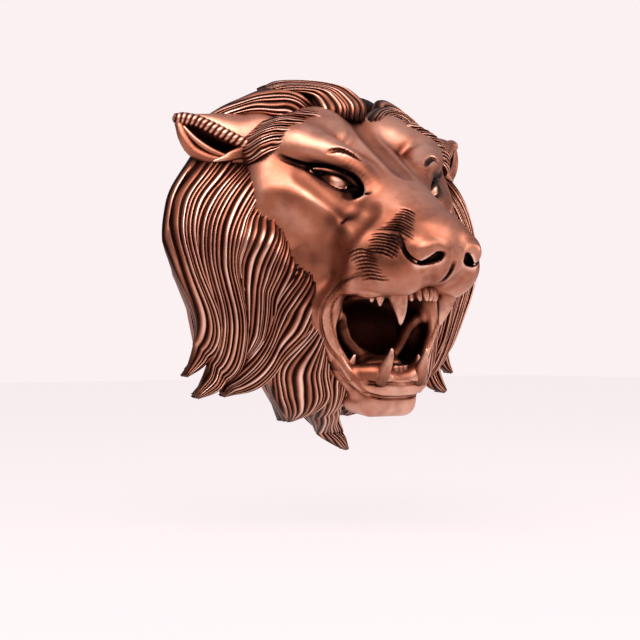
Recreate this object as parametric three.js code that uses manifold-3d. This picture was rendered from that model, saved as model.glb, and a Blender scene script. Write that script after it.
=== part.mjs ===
// Lion head wall mask: one copper-finished casting, a roaring lion's head in a swept mane.
// Millimetres, +Z up. The flat back lies on the wall plane Y = 0 and the lion looks along -Y.
// The origin is the middle of the flat back, where the mask bears on its wall.
// In this file a place on the mask is given as x (across), depth (out from the wall) and z (up).

import * as THREE from 'three';
import { mergeVertices } from 'three/addons/utils/BufferGeometryUtils.js';
import Module from 'manifold-3d';

const wasm = await Module();
wasm.setup();

// Driving sizes.

const MASK_WIDTH = 411;           // over the mane
const MASK_HEIGHT = 395;          // crest to the tip of the lowest lock
const MASK_DEPTH = 222;           // wall to the tip of the nose

const MANE_HALF_WIDTH = 206;      // widest half of the mane, at ear-root height
const MANE_UP = 196;              // height of the mane's dome above its centre
const MANE_DOWN = 172;            // and below it
const MANE_CENTRE_Z = -8;         // height of the dome's centre
const MANE_TAPER = 0.22;          // how fast the mane narrows below the centre, mm per mm
const MANE_RIM = 17;              // how far the mane's edge stands off the wall
const SMALLEST_STEP = 0.08;       // faces closer than this are run into one
const UNDERCUT = 14;              // how far the locks draw in beneath, towards the wall
const MANE_RISE = 71;             // how far the dome stands out beyond its rim
const MANE_FLARE = 0.7;           // how softly the dome runs out to the rim, 0.5 being round
const STRAND_HEIGHT = 3.4;        // ridge to groove on one strand of hair
const LOCK_BULGE = 7;             // how far the middle of a lock stands over its edges
const OVERCUT = 6;                // how far pieces run through the wall plane before the trim

const TONGUE_WIDTH = 54;
const EYE_RADIUS = 16;

const HANG_HEIGHT = 118;          // height of the blind hanging slot over the origin
const HANG_HEAD = 7;              // radius of the slot's round entry
const HANG_SLOT = 3.5;            // half width of the slot above it
const HANG_LENGTH = 16;           // from the entry's centre to the top of the slot
const HANG_DEPTH = 11;            // how deep the slot goes into the back

const COPPER = new THREE.MeshStandardMaterial({ color: 0xb4694a, roughness: 0.36, metalness: 1 });

// Small helpers.

const at = (x, depth, z) => new THREE.Vector3(x, -depth, z);

const mix = (a, b, t) => a + (b - a) * t;

const clamp = (value, low, high) => Math.min(high, Math.max(low, value));

// Moves every vertex of a geometry to place(vertex) and turns the faces outward if that mirrored them.
function warp(geometry, place) {
  geometry.deleteAttribute('normal');
  geometry.deleteAttribute('uv');
  const position = geometry.attributes.position;
  const vertex = new THREE.Vector3();
  for (let i = 0; i < position.count; i += 1) {
    vertex.fromBufferAttribute(position, i);
    const moved = place(vertex);
    position.setXYZ(i, moved.x, moved.y, moved.z);
  }
  const merged = mergeVertices(geometry, 1e-3);
  return signedVolume(merged) < 0 ? turnedOver(merged) : merged;
}

function signedVolume(geometry) {
  const { position } = geometry.attributes;
  const index = geometry.index.array;
  const [a, b, c] = [new THREE.Vector3(), new THREE.Vector3(), new THREE.Vector3()];
  let volume = 0;
  for (let i = 0; i < index.length; i += 3) {
    a.fromBufferAttribute(position, index[i]);
    b.fromBufferAttribute(position, index[i + 1]);
    c.fromBufferAttribute(position, index[i + 2]);
    volume += a.dot(b.cross(c)) / 6;
  }
  return volume;
}

function turnedOver(geometry) {
  const index = geometry.index.array;
  for (let i = 0; i < index.length; i += 3) {
    [index[i], index[i + 1]] = [index[i + 1], index[i]];
  }
  return geometry;
}

function mirrored(geometry) {
  return turnedOver(geometry.clone().scale(-1, 1, 1));
}

// A closed geometry as a solid that can be joined and cut.
function solid(geometry) {
  const { position } = geometry.attributes;
  const index = geometry.index.array;
  const used = [];
  for (let i = 0; i < index.length; i += 3) {
    const [a, b, c] = [index[i], index[i + 1], index[i + 2]];
    if (a !== b && b !== c && c !== a) {
      used.push(a, b, c);
    }
  }
  return new wasm.Manifold(new wasm.Mesh({
    numProp: 3,
    vertProperties: Float32Array.from(position.array),
    triVerts: Uint32Array.from(used),
  }));
}

const joined = (solids) => solids.reduce((sum, next) => sum.add(next));

const bothSides = (geometry) => [solid(geometry), solid(mirrored(geometry))];

// The clay: soft joined forms.

// Each form gives its distance from its own skin, under zero inside. Forms on x > 0 are doubled
// onto x < 0 because the head is the same on both sides.
class Clay {
  constructor() {
    this.forms = [];
  }

  ball([x, depth, z], [rx, ry, rz], blend, pitch = 0) {
    const c = Math.cos(THREE.MathUtils.degToRad(pitch));
    const s = Math.sin(THREE.MathUtils.degToRad(pitch));
    const distance = (p) => {
      const dy = p[1] - depth;
      const dz = p[2] - z;
      const a = (p[0] - x) / rx;
      const b = (dy * c + dz * s) / ry;
      const e = (dz * c - dy * s) / rz;
      const k0 = Math.hypot(a, b, e);
      const k1 = Math.hypot(a / rx, b / ry, e / rz) + 1e-9;
      return (k0 * (k0 - 1)) / k1;
    };
    this.forms.push({ distance, blend, add: true });
    return this;
  }

  // A box with rounded edges, tipped about X.
  block([x, depth, z], half, corner, blend, pitch = 0) {
    const c = Math.cos(THREE.MathUtils.degToRad(pitch));
    const s = Math.sin(THREE.MathUtils.degToRad(pitch));
    const distance = (p) => {
      const dy = p[1] - depth;
      const dz = p[2] - z;
      const out = [
        Math.abs(p[0] - x) - half[0] + corner,
        Math.abs(dy * c + dz * s) - half[1] + corner,
        Math.abs(dz * c - dy * s) - half[2] + corner,
      ];
      const outside = Math.hypot(...out.map((value) => Math.max(value, 0)));
      return outside + Math.min(Math.max(...out), 0) - corner;
    };
    this.forms.push({ distance, blend, add: true });
    return this;
  }

  // A round rope through points [x, depth, z, radius].
  rope(points, blend, add = true) {
    const distance = (p) => {
      let nearest = Infinity;
      for (let i = 0; i + 1 < points.length; i += 1) {
        const [a, b] = [points[i], points[i + 1]];
        const ab = [b[0] - a[0], b[1] - a[1], b[2] - a[2]];
        const ap = [p[0] - a[0], p[1] - a[1], p[2] - a[2]];
        const length2 = ab[0] ** 2 + ab[1] ** 2 + ab[2] ** 2;
        const t = clamp((ap[0] * ab[0] + ap[1] * ab[1] + ap[2] * ab[2]) / length2, 0, 1);
        const gap = Math.hypot(ap[0] - t * ab[0], ap[1] - t * ab[1], ap[2] - t * ab[2]);
        nearest = Math.min(nearest, gap - mix(a[3], b[3], t));
      }
      return nearest;
    };
    this.forms.push({ distance, blend, add });
    return this;
  }

  groove(points, blend) {
    return this.rope(points, blend, false);
  }

  distance(x, depth, z) {
    const p = [Math.abs(x), depth, z];
    let total = 60;
    for (const { distance, blend, add } of this.forms) {
      const value = distance(p);
      const [a, b] = add ? [total, value] : [-total, value];
      const h = Math.max(blend - Math.abs(a - b), 0) / blend;
      const low = Math.min(a, b) - h * h * blend * 0.25;
      total = add ? low : -low;
    }
    return total;
  }
}

// The skin of the clay along a ray from inside, as a distance along the ray.
function reach(clay, origin, direction, furthest) {
  const value = (t) => clay.distance(
    origin[0] + direction[0] * t,
    origin[1] + direction[1] * t,
    origin[2] + direction[2] * t,
  );
  let near = 0;
  let far = 3;
  while (far < furthest && value(far) < 0) {
    near = far;
    far += 3;
  }
  for (let i = 0; i < 14; i += 1) {
    const middle = (near + far) / 2;
    if (value(middle) < 0) {
      near = middle;
    } else {
      far = middle;
    }
  }
  return near;
}

// Wraps the clay along a straight spine: rings of rays across the spine, then a rounded nose end.
function wrapped(clay, { from, to, around, along, cap, furthest, crowd }) {
  const axis = [0, to[1] - from[1], to[2] - from[2]];
  const length = Math.hypot(axis[1], axis[2]);
  const ahead = [0, axis[1] / length, axis[2] / length];
  const up = [0, -ahead[2], ahead[1]];
  const rows = along + cap;
  const geometry = new THREE.CylinderGeometry(1, 1, 1, around, rows);
  return warp(geometry, (vertex) => {
    const row = Math.round((vertex.y + 0.5) * rows);
    const onAxis = Math.hypot(vertex.x, vertex.z) < 0.5;
    const turn = Math.atan2(vertex.x, vertex.z);
    const angle = turn + crowd * Math.sin(turn);
    const s = Math.min(row / along, 1);
    const origin = [0, mix(from[1], to[1], s), mix(from[2], to[2], s)];
    const tilt = row <= along ? 0 : ((row - along) / (cap + 0.35)) * (Math.PI / 2);
    const radial = onAxis ? 0 : Math.cos(tilt);
    const forward = row <= along ? 0 : Math.sin(tilt);
    if (onAxis && row === 0) {
      return at(...origin);
    }
    const ray = [
      radial * Math.sin(angle),
      radial * -Math.cos(angle) * up[1] + (onAxis ? 1 : forward) * ahead[1],
      radial * -Math.cos(angle) * up[2] + (onAxis ? 1 : forward) * ahead[2],
    ];
    const size = Math.hypot(...ray);
    const direction = ray.map((value) => value / size);
    const t = reach(clay, origin, direction, furthest);
    return at(...origin.map((value, i) => value + direction[i] * t));
  });
}

// Curves and locks of hair.

// A smooth curve through points [x, z] or [x, depth, z].
function smooth(points) {
  const curve = new THREE.CatmullRomCurve3(
    points.map((p) => (p.length === 2 ? at(p[0], 0, p[1]) : at(...p))),
    false,
    'centripetal',
  );
  curve.arcLengthDivisions = 60;
  return curve;
}

// How far the swept mane stands out from the wall at (x, z).
function maneDepth(x, z) {
  const halfWidth = MANE_HALF_WIDTH - MANE_TAPER * Math.max(0, -z);
  const halfHeight = z > MANE_CENTRE_Z ? MANE_UP : MANE_DOWN;
  const inside = 1 - (x / halfWidth) ** 2 - ((z - MANE_CENTRE_Z) / halfHeight) ** 2;
  return MANE_RIM + MANE_RISE * Math.max(0, inside) ** MANE_FLARE;
}

// One lock of hair: a ridged band between a left edge and a right edge, solid down to the wall.
// The lift raises the whole lock over its neighbours; root and tip say how far its ends are let down.
function lock({ left, right, strands = 4, rows = 9, lift = 0, root = 0, tip = 8, bulge = LOCK_BULGE, ridged = true, undercut = UNDERCUT }) {
  const leftEdge = smooth(left);
  const rightEdge = smooth(right);
  const flat = left[0].length === 2;
  const across = strands * 2;
  const around = across + 3;
  const geometry = new THREE.CylinderGeometry(1, 1, 1, around, rows);
  const length = leftEdge.getLength();
  const under = (u, s) => {
    const held = Math.min(s, 1 - undercut / length);
    const a = leftEdge.getPointAt(held);
    const b = rightEdge.getPointAt(held);
    const inward = Math.min(undercut / Math.max(a.distanceTo(b), 1), 0.42);
    const share = u === 0 ? inward : 1 - inward;
    return at(mix(a.x, b.x, share), -OVERCUT, mix(a.z, b.z, share));
  };
  const place = (k, s) => {
    const a = leftEdge.getPointAt(s);
    const b = rightEdge.getPointAt(s);
    const u = clamp((k - 1) / across, 0, 1);
    const x = mix(a.x, b.x, u);
    const z = mix(a.z, b.z, u);
    if (k === 0 || k === around - 1) {
      return under(k === 0 ? 0 : 1, s);
    }
    const width = a.distanceTo(b);
    const base = flat ? maneDepth(x, z) : -mix(a.y, b.y, u);
    const hump = 1 - (2 * u - 1) ** 2;
    const narrow = clamp(width / 22, 0, 1);
    const ridge = (ridged && k % 2 === 0 ? 1 : 0) * STRAND_HEIGHT * narrow;
    const ends = root * (1 - clamp(s / (root < 0 ? 0.5 : 0.2), 0, 1)) ** 2 + tip * clamp((s - 0.7) / 0.3, 0, 1) ** 2;
    return at(x, Math.max(5, base + bulge * narrow * hump + ridge + lift - ends - 3), z);
  };
  return warp(geometry, (vertex) => {
    const s = vertex.y + 0.5;
    const turn = Math.atan2(vertex.x, vertex.z) / (2 * Math.PI);
    if (Math.hypot(vertex.x, vertex.z) < 0.5) {
      const middle = place(Math.round(around / 2), s);
      middle.y *= 0.5;
      return middle;
    }
    return place(Math.round((turn + 1) * around) % around, s);
  });
}

// A round strand through points [x, depth, z, radius], closed at both ends.
function strand(points, { around = 7, rows = 12, flatten = 1 } = {}) {
  const curve = smooth(points.map((p) => p.slice(0, 3)));
  const radii = points.map((p) => p[3]);
  const frames = curve.computeFrenetFrames(rows, false);
  const geometry = new THREE.CylinderGeometry(1, 1, 1, around, rows);
  return warp(geometry, (vertex) => {
    const row = Math.round((vertex.y + 0.5) * rows);
    const s = row / rows;
    const centre = curve.getPointAt(s);
    const step = s * (radii.length - 1);
    const i = Math.min(Math.floor(step), radii.length - 2);
    const radius = mix(radii[i], radii[i + 1], step - i);
    return centre
      .addScaledVector(frames.normals[row], vertex.x * radius)
      .addScaledVector(frames.binormals[row], vertex.z * radius * flatten);
  });
}

// An egg-shaped piece, squashed to its radii and turned about X.
function egg(centre, radii, { pitch = 0, yaw = 0, columns = 10, rows = 7 } = {}) {
  const geometry = new THREE.SphereGeometry(1, columns, rows);
  const turn = new THREE.Euler(THREE.MathUtils.degToRad(-pitch), 0, THREE.MathUtils.degToRad(yaw));
  const middle = at(...centre);
  return warp(geometry, (vertex) => new THREE.Vector3(
    vertex.x * radii[0],
    vertex.y * radii[1],
    vertex.z * radii[2],
  ).applyEuler(turn).add(middle));
}

// The head.

// Skull, brow, cheeks, nose bridge, muzzle and nose, without the lower jaw.
function upperHead() {
  return new Clay()
    .ball([0, 30, 70], [122, 62, 90], 10)
    .rope([[0, 26, 90, 70], [0, 186, 10, 38]], 16)
    .ball([45, 54, 126], [41, 32, 35], 5, 30)
    .ball([60, 66, 46], [58, 60, 60], 16)
    .ball([84, 48, 92], [42, 32, 38], 12)
    .ball([70, 58, -4], [48, 50, 54], 16)
    .rope([[98, 60, 110, 16], [80, 81, 113, 20], [60, 98, 105, 20], [42, 115, 89, 17], [30, 131, 70, 11]], 9)
    .ball([42, 126, 6], [37, 54, 38], 16)
    .ball([31, 171, -9], [32, 39, 31], 8, 12)
    .ball([0, 191, 15], [41, 30, 26], 7, -38)
    .ball([29, 196, 8], [19, 24, 17], 4)
    .ball([75, 70, -46], [34, 44, 52], 14)
    .rope([[54, 150, -24, 11], [66, 130, -22, 12], [76, 112, -34, 12], [78, 104, -54, 11]], 10)
    .groove([[0, 46, 188, 8], [0, 74, 164, 9], [0, 94, 140, 8], [0, 120, 118, 5]], 10)
    .groove([[0, 240, 6, 4], [0, 226, -14, 3], [0, 214, -40, 3]], 4);
}

// Throat, jaw and chin.
function lowerJaw() {
  return new Clay()
    .ball([0, 40, -80], [84, 60, 74], 20)
    .ball([75, 70, -46], [34, 44, 52], 14)
    .rope([[68, 74, -58, 22], [56, 88, -90, 19], [43, 98, -114, 17], [28, 104, -126, 17], [0, 106, -128, 17]], 8)
    .rope([[76, 112, -40, 12], [78, 104, -54, 11], [71, 102, -76, 11], [62, 102, -96, 10]], 10)
    .block([0, 97, -138], [36, 31, 19], 11, 6, -8)
    .block([0, 114, -122], [31, 20, 9], 6, 4);
}

// Each eye lies in a slanting almond cut under the brow, and each nostril is a comma cut in the nose.
const eyeSockets = bothSides(strand(
  [[36, 131, 66, 5], [47, 125, 73, 11], [59, 118, 80, 12], [71, 108, 86, 9], [84, 96, 92, 3]],
  { around: 8, rows: 6 },
));
const nostrils = bothSides(strand(
  [[13, 222, 3, 4], [18, 215, 0, 7], [27, 209, -5, 6], [40, 200, -3, 2]],
  { around: 6, rows: 4 },
));

const head = joined([
  solid(wrapped(upperHead(), {
    from: [0, -20, 84], to: [0, 178, 2], around: 30, along: 14, cap: 5, furthest: 210, crowd: 0.25,
  })),
  solid(wrapped(lowerJaw(), {
    from: [0, -20, -60], to: [0, 96, -122], around: 20, along: 7, cap: 3, furthest: 160, crowd: 0,
  })),
]).subtract(joined([...eyeSockets, ...nostrils]));

// The open mouth, cut through both jaws.
const mouth = joined([
  solid(egg([0, 112, -72], [60, 58, 40], { columns: 11, rows: 6 })),
  solid(egg([0, 150, -72], [58, 70, 38], { pitch: 8, columns: 11, rows: 6 })),
]);

const LIP_LINE = [
  [44, 168, -34, 3], [52, 155, -35, 5.5], [60, 142, -31, 6.5], [69, 126, -31, 7], [74, 116, -40, 7],
  [74, 110, -54, 7], [67, 107, -72, 6], [57, 108, -93, 5.5], [48, 116, -113, 6], [38, 124, -125, 7],
  [20, 130, -130, 7], [-1, 132, -131, 7],
];

const lips = bothSides(strand(LIP_LINE, { around: 5, rows: 12 }));

const tongue = solid(egg([0, 96, -96], [TONGUE_WIDTH / 2, 38, 12], { pitch: 16, columns: 9, rows: 5 }));

const eyes = bothSides(egg([58, 99, 78], [EYE_RADIUS + 3, EYE_RADIUS + 2, 14], { columns: 8, rows: 5 }));

// Upper and lower eyelids: the upper one hangs heavy from the brow.
const eyelids = [
  ...bothSides(strand([[41, 125, 67, 2], [46, 127, 76, 3], [56, 123, 84, 3.5], [66, 116, 89, 3.5], [82, 98, 92, 2]],
    { around: 4, rows: 4 })),
  ...bothSides(strand([[41, 124, 65, 2], [50, 121, 66, 3], [60, 116, 69, 3], [72, 107, 77, 3], [84, 97, 91, 2]],
    { around: 4, rows: 4 })),
];

// Teeth.

const teeth = [
  ...bothSides(strand([[33, 171, -20, 12], [31, 173, -36, 10.5], [28, 172, -52, 6], [25, 169, -67, 1]], { rows: 4, around: 6 })),
  ...bothSides(strand([[27, 134, -126, 6], [26, 139, -115, 7.4], [24, 147, -101, 5], [22.5, 153, -88, 1]], { rows: 4, around: 6 })),
  ...bothSides(strand([[48, 150, -26, 7], [47, 150, -38, 5], [46, 149, -46, 1]], { rows: 3, around: 5 })),
];

// The small front teeth stand in two shallow arcs between the canines.
for (const side of [-1, 1]) {
  for (let i = 0; i < 3; i += 1) {
    const across = side * (3.6 + 6.6 * i);
    const back = 0.03 * across * across;
    teeth.push(solid(egg([across, 182 - back, -34], [3.7, 4.4, 10], { columns: 5, rows: 3 })));
    teeth.push(solid(egg([across, 135 - back, -116], [3.5, 4, 9], { columns: 5, rows: 3 })));
  }
}

// The mane.

// Edges of the mane's locks on the viewer's left, from the root near the face to the tip.
const OUTER_EDGE = [[-160, 116], [-186, 86], [-198, 66], [-203, 46], [-205, 26], [-203, 8], [-198, -8],
  [-190, -26], [-181, -43], [-174, -58], [-170, -72], [-168, -88], [-171, -103], [-177, -116]];
const EDGE_3 = [[-118, 110], [-146, 82], [-166, 59], [-176, 34], [-177, 9], [-171, -16], [-160, -41],
  [-152, -61], [-147, -86], [-154, -106], [-175, -118]];
const EDGE_4 = [[-124, 108], [-156, 82], [-174, 59], [-183, 37], [-185, 9], [-179, -16], [-169, -41],
  [-161, -63], [-155, -91], [-154, -115], [-166, -134]];
const EDGE_6 = [[-96, 92], [-118, 58], [-134, 29], [-141, 9], [-141, -16], [-134, -41], [-128, -66],
  [-126, -91], [-127, -117], [-140, -133], [-163, -140]];
const EDGE_7 = [[-100, 84], [-130, 50], [-147, 16], [-147, -16], [-141, -41], [-134, -66], [-129, -86], [-127, -101]];
const EDGE_10 = [[-84, 24], [-96, -2], [-104, -24], [-107, -46], [-109, -66], [-116, -88], [-125, -101]];
const EDGE_10B = [[-88, 24], [-108, -9], [-114, -26], [-117, -46], [-117, -66], [-121, -88], [-126, -110], [-132, -134]];
const EDGE_12 = [[-52, -34], [-66, -56], [-76, -78], [-86, -100], [-94, -120], [-108, -134], [-130, -139]];
const EDGE_13 = [[-58, -44], [-80, -66], [-94, -88], [-99, -112], [-88, -134], [-73, -153], [-58, -166]];
const EDGE_14 = [[-38, -64], [-54, -86], [-50, -113], [-44, -138], [-48, -154], [-55, -165]];
const EDGE_15 = [[-44, -74], [-58, -97], [-58, -127], [-44, -156], [-15, -180], [9, -193], [25, -199]];
const EDGE_16 = [[0, -96], [-18, -126], [-17, -146], [1, -166], [20, -182], [28, -197]];

const flip = (edge) => edge.map((p) => [-p[0], ...p.slice(1)]);

const moved = (edge, dx, dz) => edge.map((p, i) => {
  const t = i / (edge.length - 1);
  return [p[0] + dx * t, p[1] + dz * t];
});

const SIDE_LOCKS = [
  { left: OUTER_EDGE, right: EDGE_3, strands: 4, rows: 7, root: 12, tip: 0 },
  { left: EDGE_4, right: EDGE_6, strands: 4, rows: 7, root: 12, tip: 0, lift: 2 },
  { left: EDGE_7, right: EDGE_10, strands: 3, rows: 6, root: 6, tip: 2, lift: 5 },
  { left: EDGE_10B, right: EDGE_12, strands: 4, rows: 6, root: 8, tip: 2 },
  { left: EDGE_13, right: EDGE_14, strands: 3, rows: 6, root: -22, tip: 3 },
];

const maneLocks = [];
for (const shape of SIDE_LOCKS) {
  maneLocks.push(solid(lock(shape)));
  const onRight = shape.left === EDGE_13
    ? { ...shape, left: flip(moved(EDGE_13, 0, 15)), right: flip(moved(EDGE_14, 0, 15)) }
    : { ...shape, left: flip(shape.left), right: flip(shape.right) };
  maneLocks.push(solid(lock(onRight)));
}
maneLocks.push(solid(lock({ left: EDGE_15, right: EDGE_16, strands: 4, rows: 6, root: -22, tip: 0 })));
maneLocks.push(solid(lock({
  left: [[-22, -96], [-24, -126], [-12, -146], [8, -160]],
  right: [[62, -90], [54, -124], [36, -146], [12, -161]],
  strands: 3, rows: 5, root: 10, tip: 6,
})));

// The bed that the locks lie on, and that carries the face.
const bed = joined([
  solid(egg([0, 0, MANE_CENTRE_Z], [152, 66, 146], { columns: 14, rows: 7 })),
  solid(egg([0, 0, 106], [152, 38, 74], { columns: 12, rows: 5 })),
  solid(egg([-4, 0, 146], [92, 48, 42], { columns: 10, rows: 5 })),
  ...bothSides(egg([114, 20, 105], [16, 14, 15], { columns: 6, rows: 4 })),
]);

// Top hair, temples and ears.

const TOP_WAVE = {
  left: [[-42, 68, 150], [-40, 60, 166], [-38, 48, 180], [-50, 38, 186], [-66, 30, 187], [-84, 22, 184]],
  right: [[16, 70, 146], [20, 60, 168], [14, 46, 184], [4, 38, 192], [-16, 30, 196], [-42, 20, 197], [-66, 16, 194], [-79, 14, 188]],
  strands: 4, rows: 6, bulge: 6, root: 10, tip: 2,
};
const EAR_DOME = {
  left: [[-40, 44, 150], [-62, 34, 174], [-90, 20, 179], [-120, 12, 168], [-146, 10, 152]],
  right: [[-58, 50, 140], [-76, 48, 154], [-100, 36, 158], [-120, 26, 154], [-142, 14, 146]],
  strands: 3, rows: 5, bulge: 4, root: 6, tip: 0,
};
const TEMPLE = {
  left: [[-58, 68, 158], [-86, 54, 153], [-100, 50, 147], [-113, 48, 138], [-122, 46, 124], [-125, 46, 110], [-122, 50, 98]],
  right: [[-76, 72, 124], [-86, 70, 120], [-97, 66, 114], [-106, 62, 107], [-114, 58, 101]],
  strands: 3, rows: 5, bulge: 5, root: 7, tip: 2, lift: 9,
};

const flipShape = (shape) => ({ ...shape, left: flip(shape.left), right: flip(shape.right) });

const topHair = [
  solid(lock(TOP_WAVE)),
  solid(lock({
    left: [[12, 70, 148], [22, 64, 162], [42, 50, 172], [78, 38, 171], [116, 26, 157]],
    right: [[34, 72, 142], [48, 66, 152], [64, 56, 158], [84, 46, 154], [112, 34, 146]],
    strands: 3, rows: 5, bulge: 5, root: 8, tip: 2,
  })),
  ...[EAR_DOME, flipShape(EAR_DOME)].map((shape) => solid(lock(shape))),
  ...[TEMPLE, flipShape(TEMPLE)].map((shape) => solid(lock(shape))),
];

// The ear: a leaf lying back over the mane, hollowed below a rolled rim.
const earLeaf = lock({
  left: [[-84, 46, 152], [-108, 32, 158], [-134, 18, 156], [-160, 10, 153], [-183, 5, 147]],
  right: [[-96, 54, 104], [-124, 44, 96], [-152, 30, 95], [-172, 16, 106], [-186, 5, 140]],
  strands: 2, rows: 7, bulge: 12, tip: 0, ridged: false, undercut: 24,
});
const earHollow = egg([-148, 48, 114], [32, 24, 14], { yaw: 0, columns: 10, rows: 7 });
const earRim = strand([[-185, 8, 143, 5], [-179, 13, 146, 8], [-164, 26, 139, 9], [-148, 38, 128, 9],
  [-128, 48, 116, 8], [-112, 52, 110, 6]], { rows: 7, around: 6 });
const earFoot = strand([[-185, 8, 140, 4], [-182, 14, 122, 6], [-172, 22, 105, 6], [-156, 32, 98, 6],
  [-128, 42, 100, 5]], { rows: 6, around: 5 });

// The casting.

const wall = solid(warp(new THREE.BoxGeometry(600, 200, 600), (v) => v.clone().add(at(0, -100, 0))));

// A blind slot in the back takes the head of a wall screw.
const slotShape = new THREE.Shape();
slotShape.moveTo(-HANG_SLOT, HANG_LENGTH);
slotShape.absarc(0, 0, HANG_HEAD, Math.PI - Math.acos(HANG_SLOT / HANG_HEAD), 2 * Math.PI + Math.acos(HANG_SLOT / HANG_HEAD));
slotShape.lineTo(HANG_SLOT, HANG_LENGTH);
const slot = solid(warp(
  new THREE.ExtrudeGeometry(slotShape, { depth: HANG_DEPTH + 2, bevelEnabled: false, curveSegments: 10 }),
  (v) => at(v.x, v.z - 2, v.y + HANG_HEIGHT),
));

const drawn = joined([head, bed, ...maneLocks, ...bothSides(earLeaf)])
  .subtract(joined(bothSides(earHollow)))
  .add(joined([...topHair, ...[earRim, earFoot].flatMap(bothSides)]))
  .subtract(mouth)
  .add(joined([...lips, tongue, ...eyes, ...eyelids, ...teeth]))
  .subtract(wall);

// The drawn mask is brought to its real size before the slot, which fits a screw, is cut.
const { min, max } = drawn.boundingBox();
const casting = drawn
  .scale([MASK_WIDTH / (max[0] - min[0]), MASK_DEPTH / (max[1] - min[1]), MASK_HEIGHT / (max[2] - min[2])])
  .subtract(slot)
  .simplify(SMALLEST_STEP);

const faces = casting.getMesh();
const geometry = new THREE.BufferGeometry();
geometry.setAttribute('position', new THREE.BufferAttribute(Float32Array.from(faces.vertProperties), 3));
geometry.setIndex(new THREE.BufferAttribute(Uint32Array.from(faces.triVerts), 1));
geometry.computeVertexNormals();

const mask = new THREE.Mesh(geometry, COPPER);
mask.name = 'lion_mask';

const model = new THREE.Group();
model.add(mask);

export default model;
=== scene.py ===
"""Lion head wall mask: the finished copper casting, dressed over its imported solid.

Places are (x across, depth out from the wall, z up) in millimetres until a mesh is made, because
the head was modelled as a relief on a wall. A mesh point is then (x, -depth, z) in metres.
"""

import logging
import math
from collections.abc import Callable, Sequence
from dataclasses import dataclass, field
from enum import Enum

import bmesh
import bpy
import numpy as np
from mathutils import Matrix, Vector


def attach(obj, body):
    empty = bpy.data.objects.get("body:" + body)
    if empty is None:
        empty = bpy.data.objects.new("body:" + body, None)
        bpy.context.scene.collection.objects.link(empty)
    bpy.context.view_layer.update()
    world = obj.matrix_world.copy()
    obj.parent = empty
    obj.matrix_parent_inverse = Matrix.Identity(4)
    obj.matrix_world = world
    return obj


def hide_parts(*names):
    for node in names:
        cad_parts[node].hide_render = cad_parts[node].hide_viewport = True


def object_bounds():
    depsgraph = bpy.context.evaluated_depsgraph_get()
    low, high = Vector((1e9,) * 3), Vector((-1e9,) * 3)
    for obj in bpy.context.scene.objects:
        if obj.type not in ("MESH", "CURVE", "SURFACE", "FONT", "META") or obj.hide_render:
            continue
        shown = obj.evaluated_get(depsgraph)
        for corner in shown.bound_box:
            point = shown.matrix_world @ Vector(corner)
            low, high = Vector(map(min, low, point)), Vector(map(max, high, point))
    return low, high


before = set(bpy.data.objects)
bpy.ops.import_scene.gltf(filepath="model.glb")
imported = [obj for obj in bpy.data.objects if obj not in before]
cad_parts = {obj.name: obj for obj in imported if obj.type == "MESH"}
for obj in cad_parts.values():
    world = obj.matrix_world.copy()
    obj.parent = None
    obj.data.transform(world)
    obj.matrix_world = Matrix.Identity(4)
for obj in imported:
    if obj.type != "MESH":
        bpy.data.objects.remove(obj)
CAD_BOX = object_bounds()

import openvdb
from mathutils import Vector

LOG = logging.getLogger("lion_mask")
MM = 0.001
# Name of the attribute that holds how rubbed the metal is, with painted shade and painted highlights mixed
# in.
WEAR_AND_LIGHT = "wear_and_light"
LEAST_DEPTH = 4.5  # Millimetres between the wall and the thinnest hair or ear.

Point = tuple[float, float, float]
Bead = tuple[float, float, float, float]
Array = np.ndarray
Place = Callable[[Array, Array], tuple[Array, Array]]


class Side(Enum):
    """The half of the mask that a paired piece belongs to, as the viewer sees it."""

    LEFT = -1.0
    RIGHT = 1.0


# Colour and finish


def linear(code: str) -> tuple[float, float, float, float]:
    """Turn an sRGB hex colour into linear values.

    Args:
        code: The colour as #RRGGBB.

    Returns:
        Linear red, green and blue, with an alpha of 1.
    """
    parts = [int(code[i : i + 2], 16) / 255 for i in (1, 3, 5)]
    red, green, blue = (c / 12.92 if c <= 0.04045 else ((c + 0.055) / 1.055) ** 2.4 for c in parts)
    return red, green, blue, 1.0


def add_node(tree: bpy.types.NodeTree, kind: str, settings: dict, links: dict) -> bpy.types.Node:
    """Add a shader node with its settings and its incoming links.

    Args:
        tree: The node tree that gets the node.
        kind: The node's type name.
        settings: Attribute names, or socket names or numbers, with their values.
        links: Input socket names or numbers with the output sockets that feed them.

    Returns:
        The new node.
    """
    node = tree.nodes.new(kind)
    for name, value in settings.items():
        if isinstance(name, str) and hasattr(node, name):
            setattr(node, name, value)
        else:
            node.inputs[name].default_value = value
    for name, source in links.items():
        tree.links.new(source, node.inputs[name])
    return node


def ramp(node: bpy.types.Node, stops: Sequence[tuple[float, str]]) -> None:
    """Give a colour ramp node its stops.

    Args:
        node: The ColorRamp node.
        stops: Positions with hex colours, from 0 to 1.
    """
    elements = node.color_ramp.elements
    while len(elements) < len(stops):
        elements.new(0.5)
    for element, (position, code) in zip(elements, stops):
        element.position = position
        element.color = linear(code)


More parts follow.
